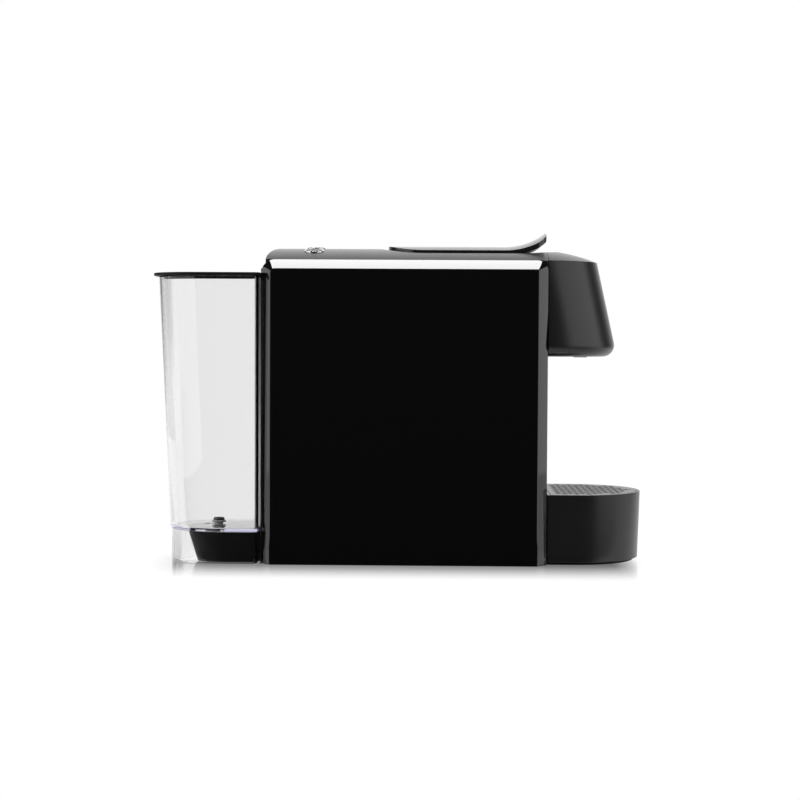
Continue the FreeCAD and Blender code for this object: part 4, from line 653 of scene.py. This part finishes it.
class POD_OT_lever(PodOperator):
    """Make the lever's crowned blade."""

    bl_idname = "pod_machine.lever"
    bl_label = "Lever"

    def execute(self, context):
        """Carry a thin rounded section along the lever.

        A point at depth d below the blade's top line lies at height top - d on the straight run, and on
        the turned-up front at top + R - (R + d) cos a, where sin a is its way past the run over R + d.
        The depth is the crown's y^2 / (2 C) plus its place in the blade's thickness. The blade's edges are
        squared arcs: the cosine and sine of a half turn raised to a small power.
        """
        size = sizes()
        low, high = corners_of("lever_blade")
        half = high[1]
        edge = size.lever_edge
        bow = (half ** 2 + size.lever_crown ** 2) / (2 * size.lever_crown)
        turn_x = low[0] + size.lever_flat
        radius = size.lever_turn
        top = sum(crown()) + size.lever_rise
        ends, strip, steps = 8, 25, 9
        tail_rows, middle_rows, front_rows, blunt = 40, 46, 16, 0.04
        bend = np.linspace(0, QUARTER, ends)
        ease = squared(np.sin(bend))
        tail_run = low[0] + half * (1 - np.cos(np.linspace(blunt, QUARTER, tail_rows)))
        front_run = high[0] - size.lever_corner * (1 - np.sin(np.linspace(0, QUARTER, front_rows)))[:-1]
        middle_run = np.linspace(low[0] + half, high[0] - size.lever_corner, middle_rows)[1:-1]
        x = np.concatenate([
            np.full(ends, tail_run[0]), tail_run[1:], middle_run, front_run, np.full(ends, high[0])])
        tail_width = np.sqrt(np.maximum(half ** 2 - np.maximum(low[0] + half - x, 0) ** 2, 0))
        past = np.maximum(x - high[0] + size.lever_corner, 0)
        nose = size.lever_corner - np.sqrt(np.maximum(size.lever_corner ** 2 - past ** 2, 0))
        width = np.minimum(tail_width, half - nose)
        between = len(x) - 2 * ends
        swell = np.concatenate([ease, np.ones(between), ease[::-1]])
        draw = edge * (1 - squared(np.cos(bend)))
        x = x + np.concatenate([draw, np.zeros(between), -draw[::-1]])
        side = np.linspace(QUARTER, -QUARTER, steps)
        across = np.linspace(-1, 1, strip)
        flat = np.concatenate([across, np.ones(steps), across[::-1], -np.ones(steps)])
        out, up = squared(np.cos(side)), squared(np.sin(side))
        round_off = np.concatenate([np.zeros(strip), out, np.zeros(strip), out])
        through = np.concatenate([np.zeros(strip), 0.5 - 0.5 * up, np.ones(strip), 0.5 + 0.5 * up])
        soft = np.minimum(edge, width)[:, None]
        y = flat[None, :] * (width[:, None] - soft + soft * round_off[None, :])
        depth = y ** 2 / (2 * bow) + size.lever_thick * (0.5 + (through[None, :] - 0.5) * swell[:, None])
        way = np.maximum(x[:, None] - turn_x, 0)
        rise = radius - (radius + depth) * np.sqrt(1 - np.minimum(way / (radius + depth), 1) ** 2) + depth
        z = top - depth + np.where(way > 0, rise, 0)
        grid = np.stack([np.broadcast_to(x[:, None], y.shape), y, z], axis=-1)
        skin("lever_skin", grid, "lever", "satin_black", ("lever_blade",))
        return {"FINISHED"}


class POD_OT_buttons(PodOperator):
    """Make the three buttons and the bright rings round them."""

    bl_idname = "pod_machine.buttons"
    bl_label = "Buttons"

    def execute(self, context):
        """Turn a dished cap and a ring, and lean them round the crown's axis to each button's place."""
        size = sizes()
        radius, axis = crown()
        rings = corners_of("button_bezels")
        ring_radius = (rings[1][0] - rings[0][0]) / 2
        x = (rings[1][0] + rings[0][0]) / 2
        top = radius + axis
        stem = corners_of("middle_button")[0][2]
        cap_radius, cap_top, shoulder = size.button_cap, top + size.button_rise, top - size.button_depth
        brim = 0.86
        dish = np.linspace(0.08, brim, 8)
        dished = np.stack([cap_radius * dish, cap_top - size.button_dish * (1 - (dish / brim) ** 2)], axis=1)
        cap = np.concatenate([dished, soft_path([
            (cap_radius * 0.9, cap_top), (cap_radius, cap_top), (cap_radius, shoulder),
            (size.button_stem, shoulder), (size.button_stem, stem)], 0.35 * MM)])
        inner, outer = cap_radius + size.ring_gap, ring_radius - 0.05 * MM
        ring_top, ring_foot = top + size.ring_rise, top - size.ring_depth
        slope, lip = 0.5 * MM, 0.25 * MM
        ring = soft_path([
            (inner, ring_foot), (inner, top + size.ring_rise / 2), (inner + slope, ring_top),
            (outer - lip, ring_top), (outer, top + size.ring_rise / 4), (outer, ring_foot)],
            0.15 * MM, closed=True)
        for index, name in enumerate(("right_button", "middle_button", "left_button")):
            low, high = corners_of(name)
            lean = math.asin((high[1] + low[1]) / 2 / radius)
            skin(name + "_cap", leaned(lathe(cap, x), lean, axis), f"{name.split('_')[0]}_push_button",
                 "satin_black", (name,))
            nodes = ("button_bezels",) if index == 1 else ()
            skin(name + "_ring", leaned(lathe(ring, x), lean, axis), "housing", "bright_chrome", nodes,
                 looped=True)
        return {"FINISHED"}


def leaned(grid, lean, axis):
    """A grid turned by an angle about the level line along the machine at a height."""
    y, z = grid[..., 1], grid[..., 2] - axis
    return np.stack([grid[..., 0], y * math.cos(lean) + z * math.sin(lean),
                     z * math.cos(lean) - y * math.sin(lean) + axis], axis=-1)


class POD_OT_tank(PodOperator):
    """Make the clear tank with its floor, skirt and hook."""

    bl_idname = "pod_machine.tank"
    bl_label = "Water tank"

    def execute(self, context):
        """Carry the tank's wall section round its plan.

        The plan is a rounded rectangle whose rear and sides draw in with the height below the rim. Rows
        of the floor pass from that plan to circles round the valve: plan (1 - s) + circle s, s from 0 to 1.
        Across the skirt's mouth, the rows from the section's fourth bend to its seventh are left out, and a
        roof and two sides close the gap.
        """
        size = sizes()
        low, high = corners_of("water_tank")
        valve_low, valve_high = corners_of("valve_body")
        front = high[0] - size.hook_reach
        level = size.tank_floor_level
        wall = size.tank_wall
        skirt = size.skirt_inset
        floor = level + size.tank_floor
        sump = floor - size.sump_depth
        under = sump - size.tank_floor
        ring, seat, hole = size.sump_radius + wall, size.sump_radius, size.valve_hole
        rounds = np.array([0.1, 0.6, 0.5, 0.6, 0.5, 0.5, 0.3, 0.5, 0.8, 0.8, 4.0, 0.5, 1.5, 0.1]) * MM
        section = soft_path([
            (wall, under, 1, hole), (wall, under, 1, ring), (wall, level, 1, ring),
            (skirt + wall, level, 0, ring), (skirt + wall, low[2], 0, ring), (skirt, low[2], 0, ring),
            (skirt, level, 0, ring), (0, level, 0, ring), (0, high[2], 0, seat), (wall, high[2], 0, seat),
            (wall, floor, 0, seat), (wall, floor, 1, seat), (wall, sump, 1, seat), (wall, sump, 1, hole),
        ], rounds, closed=True)
        inset, height, to_hole, circle = section.T
        lean = np.clip((high[2] - height) / (high[2] - level), 0, 1)
        half = high[1] - inset - size.tank_draft * lean
        least = 0.5 * MM
        rear = np.maximum(size.tank_corner - inset, least)
        nose = np.maximum(size.tank_front_corner - inset, least)
        x, y = round_box(low[0] + inset + size.tank_lean * lean, front - inset, -half, half,
                         np.stack([nose, rear, rear, nose], axis=1), arc=22)
        middle = (valve_low[0] + valve_high[0]) / 2
        bearing = np.arctan2(y, x - middle)
        share, reach = to_hole[:, None], circle[:, None]
        x = x * (1 - share) + (middle + reach * np.cos(bearing)) * share
        y = y * (1 - share) + reach * np.sin(bearing) * share
        grid = np.stack([x, y, np.broadcast_to(height[:, None], x.shape)], axis=-1)
        first, last = 4 * BEND_STEPS - 1, 7 * BEND_STEPS - 1
        rows, columns = x.shape
        inside = (np.abs(y[first]) < size.skirt_mouth) & (x[first] > front - size.tank_front_corner)
        pair = inside & np.roll(inside, -1)
        drop = np.zeros((rows, columns), bool)
        drop[first:last] = pair[None, :]
        index = np.arange(rows * columns).reshape(rows, columns)
        ahead = np.roll(index, -1, axis=1)
        roof = np.stack([index[first], ahead[first], ahead[last], index[last]], axis=1)[pair]
        starts = np.flatnonzero(inside & ~np.roll(inside, 1))
        ends = np.flatnonzero(inside & ~np.roll(inside, -1))
        sides = [index[first:last + 1, column].tolist() for column in starts]
        sides += [index[first:last + 1, column][::-1].tolist() for column in ends]
        shell = skin("tank_shell", grid, "tank", "clear_plastic", ("water_tank",), looped=True, drop=drop,
                     extra=roof.tolist() + sides)
        hook = rounded_block("tank_hook", (front + 0.05 * MM, -size.hook_half, high[2] - size.hook_height),
                             (high[0], size.hook_half, high[2]), 1.0 * MM, "tank", "clear_plastic")
        shell.visible_shadow = False
        hook.visible_shadow = False
        return {"FINISHED"}


def rounded_block(name, low, high, radius, body, slot):
    """A block with round edges: a rounded rectangle that draws in at the rounded ends of its height."""
    section = soft_path([(2 * radius, low[2]), (0, low[2]), (0, high[2]), (2 * radius, high[2])], radius)
    inset, height = section.T
    radii = np.repeat(np.maximum(radius - inset, 0.2 * radius)[:, None], 4, axis=1)
    x, y = round_box(low[0] + inset, high[0] - inset, low[1] + inset, high[1] - inset, radii, arc=6)
    grid = np.stack([x, y, np.broadcast_to(height[:, None], x.shape)], axis=-1)
    return skin(name, grid, body, slot)


class POD_OT_tank_fittings(PodOperator):
    """Make the lid and the valve of the tank."""

    bl_idname = "pod_machine.tank_fittings"
    bl_label = "Lid and valve"

    def execute(self, context):
        """Round the lid, the valve's seat and its plug, and turn a cap for the plug."""
        size = sizes()
        dressed("tank_lid", "lid_plate", "matte_black", size.edge)
        dressed("valve_body", "valve_seat", "matte_black", size.edge)
        dressed("valve_poppet", "valve_plug", "white_plastic", size.edge)
        low, high = corners_of("valve_poppet")
        middle = (high[0] + low[0]) / 2
        hub, top, taper, foot = 0.2 * MM, high[2] + 0.1 * MM, 0.3 * MM, high[2] - size.valve_cap_depth
        cap = soft_path([
            (hub, top + taper / 2), (size.valve_cap - taper, top), (size.valve_cap, foot), (hub, foot),
        ], 0.4 * MM)
        skin("valve_cap", lathe(cap, middle, around=32), "tank_valve", "matte_black")
        return {"FINISHED"}


class POD_OT_drawer(PodOperator):
    """Make the drip tray, its foot and its grille."""

    bl_idname = "pod_machine.drawer"
    bl_label = "Drip tray"

    def execute(self, context):
        """Round the edges of the drawer's mouldings."""
        size = sizes()
        dressed("drip_tray", "tray_shell", "satin_charcoal", size.edge)
        dressed("tray_plinth", "tray_foot", "matte_black", size.edge)
        dressed("drip_grille", "grille_plate", "dark_grille", size.grille_edge)
        dressed("capsule_bin", "bin_shell", "matte_black", size.edge)
        return {"FINISHED"}


class POD_OT_stage(PodOperator):
    """Make the studio: floor, lamps, white surroundings and camera."""

    bl_idname = "pod_machine.stage"
    bl_label = "Studio"

    def execute(self, context):
        """Set the floor below the machine, lamps round it and the camera before it."""
        rig = studio()
        context.scene.view_settings.view_transform = "Standard"
        make_floor(rig)
        make_world(rig)
        for name, place, turn, long, wide, setting in LAMPS:
            make_lamp(name, place, turn, long, wide, getattr(rig, setting))
        make_camera(rig)
        return {"FINISHED"}


# Each lamp's place, turn, length, width and sidebar setting

LAMPS = (
    ("top_softbox", (0.0, 0.06, 1.5), (0.0, 0.0, 0.0), 1.5, 0.34, "top_lamp"),
    ("front_softbox", (1.24, -0.40, 0.40), (0.0, QUARTER, -0.31), 1.1, 1.6, "side_lamp"),
    ("rear_softbox", (-1.24, -0.40, 0.40), (0.0, -QUARTER, 0.31), 1.1, 1.6, "side_lamp"),
    ("back_softbox", (0.0, 1.5, 1.0), (-0.7 * QUARTER, 0.0, 0.0), 2.0, 1.3, "back_lamp"),
)

# Where the floor ends, turns white and mirrors, in metres from the machine's middle

FLOOR_HALF, FLOOR_NEAR, FLOOR_FAR = 0.9, -0.3, 0.9
WHITE_FROM, WHITE_BY = 0.22, 0.34
MIRROR_FROM, MIRROR_FULL = -0.152, -0.036
MIRROR_UNTIL, MIRROR_GONE = -0.03, 0.03
MIRROR_HALF, MIRROR_END = 0.165, 0.20
GLOSS_LIMIT = -0.064

# Parts of a direction where gloss sees the white behind the machine and the table below

BEHIND_FROM, BEHIND_FULL, BEHIND_LEAST = 0.55, 0.97, 0.02
TABLE_STEEP, TABLE_SHALLOW = -0.65, -0.3


def make_floor(rig):
    """A pale sheet that mirrors the machine close before it and turns to plain white away from it.

    Its light is its lit shade, a soft reflection and a white glow that eyes, glass and gloss see. Gloss
    looks past the part before the machine, so that the side panels stay dark down to the table.
    """
    mesh = bpy.data.meshes.new("studio_floor")
    corners = [(-FLOOR_HALF, FLOOR_NEAR, 0), (FLOOR_HALF, FLOOR_NEAR, 0), (FLOOR_HALF, FLOOR_FAR, 0),
               (-FLOOR_HALF, FLOOR_FAR, 0)]
    mesh.from_pydata(corners, [], [(0, 1, 2, 3)])
    floor = bpy.data.objects.new("studio_floor", mesh)
    bpy.context.scene.collection.objects.link(floor)
    material, flow = new_tree("floor_paper")
    eye, through, gloss = sight(flow)
    seen = greatest(greatest(eye, through), gloss)
    place = flow.add("ShaderNodeTexCoord", out="Object")
    away = flow.add("ShaderNodeVectorMath", {"operation": "LENGTH"}, {0: place}, out="Value")
    depth = along(flow, place, "Y")
    aside = flow.maths("ABSOLUTE", along(flow, place, "X"), 0.0)
    paper = flow.add("ShaderNodeBsdfDiffuse", {}, {"Color": tone(colours().floor, 1.0)})
    glow = flow.add("ShaderNodeEmission", {}, {"Strength": seen * rig.floor_glow})
    sheet = flow.add("ShaderNodeAddShader", {}, {0: paper, 1: glow})
    sheen = flow.add("ShaderNodeBsdfGlossy", {}, {"Roughness": 0.15})
    near = ramp(flow, depth, MIRROR_FROM, MIRROR_FULL, 0.0, rig.floor_mirror)
    ahead = ramp(flow, depth, MIRROR_UNTIL, MIRROR_GONE, 1.0, 0.0)
    below = ramp(flow, aside, MIRROR_HALF, MIRROR_END, 1.0, 0.0)
    table = flow.add("ShaderNodeMixShader", {}, {0: near * ahead * below, 1: sheet, 2: sheen})
    white = flow.add("ShaderNodeEmission", {}, {"Strength": 1.0})
    fade = ramp(flow, away, WHITE_FROM, WHITE_BY)
    surface = flow.add("ShaderNodeMixShader", {}, {0: seen * fade, 1: table, 2: white})
    hidden = flow.add("ShaderNodeBsdfTransparent")
    before = greatest(gloss, through) * (depth < GLOSS_LIMIT)
    shader = flow.add("ShaderNodeMixShader", {}, {0: before, 1: surface, 2: hidden})
    flow.add("ShaderNodeOutputMaterial", {}, {"Surface": shader})
    mesh.materials.append(material)


def make_world(rig):
    """White where the eye sees it, also through clear plastic.

    Gloss sees it behind the machine, and a lit table where it looks steeply down.
    """
    world = bpy.data.worlds.new("studio_white")
    bpy.context.scene.world = world
    world.use_nodes = True
    world.node_tree.nodes.clear()
    flow = Flow(world.node_tree)
    eye, through, gloss = sight(flow)
    way = flow.add("ShaderNodeTexCoord", out="Generated")
    behind = ramp(flow, along(flow, way, "Y"), BEHIND_FROM, BEHIND_FULL, BEHIND_LEAST, 1.0)
    table = ramp(flow, along(flow, way, "Z"), TABLE_STEEP, TABLE_SHALLOW, 1.0, 0.0)
    dull, shiny = [flow.add("ShaderNodeLightPath", out=f"{kind} Depth") for kind in ("Diffuse", "Glossy")]
    seen = greatest(eye, through * (dull + shiny < 0.5))
    sharp = greatest(gloss, through)
    level = seen + (1 - seen) * (sharp * greatest(behind, table) + (1 - sharp) * rig.ambient)
    white = flow.add("ShaderNodeBackground", {}, {"Color": (1, 1, 1, 1), "Strength": level})
    flow.add("ShaderNodeOutputWorld", {}, {"Surface": white})


def make_lamp(name, place, turn, long, wide, brightness):
    """A soft rectangular lamp of an even brightness, which the camera doesn't see."""
    lamp = bpy.data.lights.new(name, "AREA")
    lamp.shape = "RECTANGLE"
    lamp.size = long
    lamp.size_y = wide
    lamp.energy = brightness * math.pi * long * wide
    holder = bpy.data.objects.new(name, lamp)
    bpy.context.scene.collection.objects.link(holder)
    holder.location = place
    holder.rotation_euler = turn
    holder.visible_camera = False
    holder.visible_transmission = False


def make_camera(rig):
    """The camera: level with the machine's side, turned, lowered and rolled as the sidebar says."""
    data = bpy.data.cameras.new("studio_camera")
    data.lens = rig.lens
    camera = bpy.data.objects.new("studio_camera", data)
    bpy.context.scene.collection.objects.link(camera)
    camera.location = (
        rig.aim + rig.distance * math.sin(rig.yaw), -rig.distance * math.cos(rig.yaw), rig.height)
    camera.rotation_mode = "QUATERNION"
    look = Euler((QUARTER - rig.pitch, 0, rig.yaw)).to_quaternion()
    camera.rotation_quaternion = look @ Quaternion((0, 0, 1), rig.roll)
    bpy.context.scene.camera = camera


class POD_PT_machine(bpy.types.Panel):
    """Lists the machine's pieces, sizes, colours and studio."""

    bl_idname = "POD_PT_machine"
    bl_label = "Pod machine"
    bl_space_type = "VIEW_3D"
    bl_region_type = "UI"
    bl_category = "Pod machine"

    def draw(self, context):
        """One button an operator, then the properties."""
        for operator in OPERATORS:
            self.layout.operator(operator.bl_idname)
        for group in (sizes(), colours(), studio()):
            box = self.layout.box()
            for key in group.bl_rna.properties.keys():
                if key not in ("rna_type", "name"):
                    box.prop(group, key)


GROUPS = (PodMachineSizes, PodMachineColours, PodMachineStudio)
OPERATORS = (
    POD_OT_finishes, POD_OT_side_panels, POD_OT_shell, POD_OT_head, POD_OT_lever, POD_OT_buttons,
    POD_OT_tank, POD_OT_tank_fittings, POD_OT_drawer, POD_OT_stage,
)


def register():
    """Register the property groups, operators and panel."""
    for item in (*GROUPS, *OPERATORS, POD_PT_machine):
        bpy.utils.register_class(item)
    bpy.types.Scene.pod_machine_sizes = bpy.props.PointerProperty(type=PodMachineSizes)
    bpy.types.Scene.pod_machine_colours = bpy.props.PointerProperty(type=PodMachineColours)
    bpy.types.Scene.pod_machine_studio = bpy.props.PointerProperty(type=PodMachineStudio)


def unregister():
    """Take everything out again."""
    del bpy.types.Scene.pod_machine_studio
    del bpy.types.Scene.pod_machine_colours
    del bpy.types.Scene.pod_machine_sizes
    for item in reversed((*GROUPS, *OPERATORS, POD_PT_machine)):
        bpy.utils.unregister_class(item)


def main():
    """Build the dressed machine and its studio."""
    register()
    for operator in OPERATORS:
        group, name = operator.bl_idname.split(".")
        getattr(getattr(bpy.ops, group), name)()


if __name__ == "__main__":
    main()
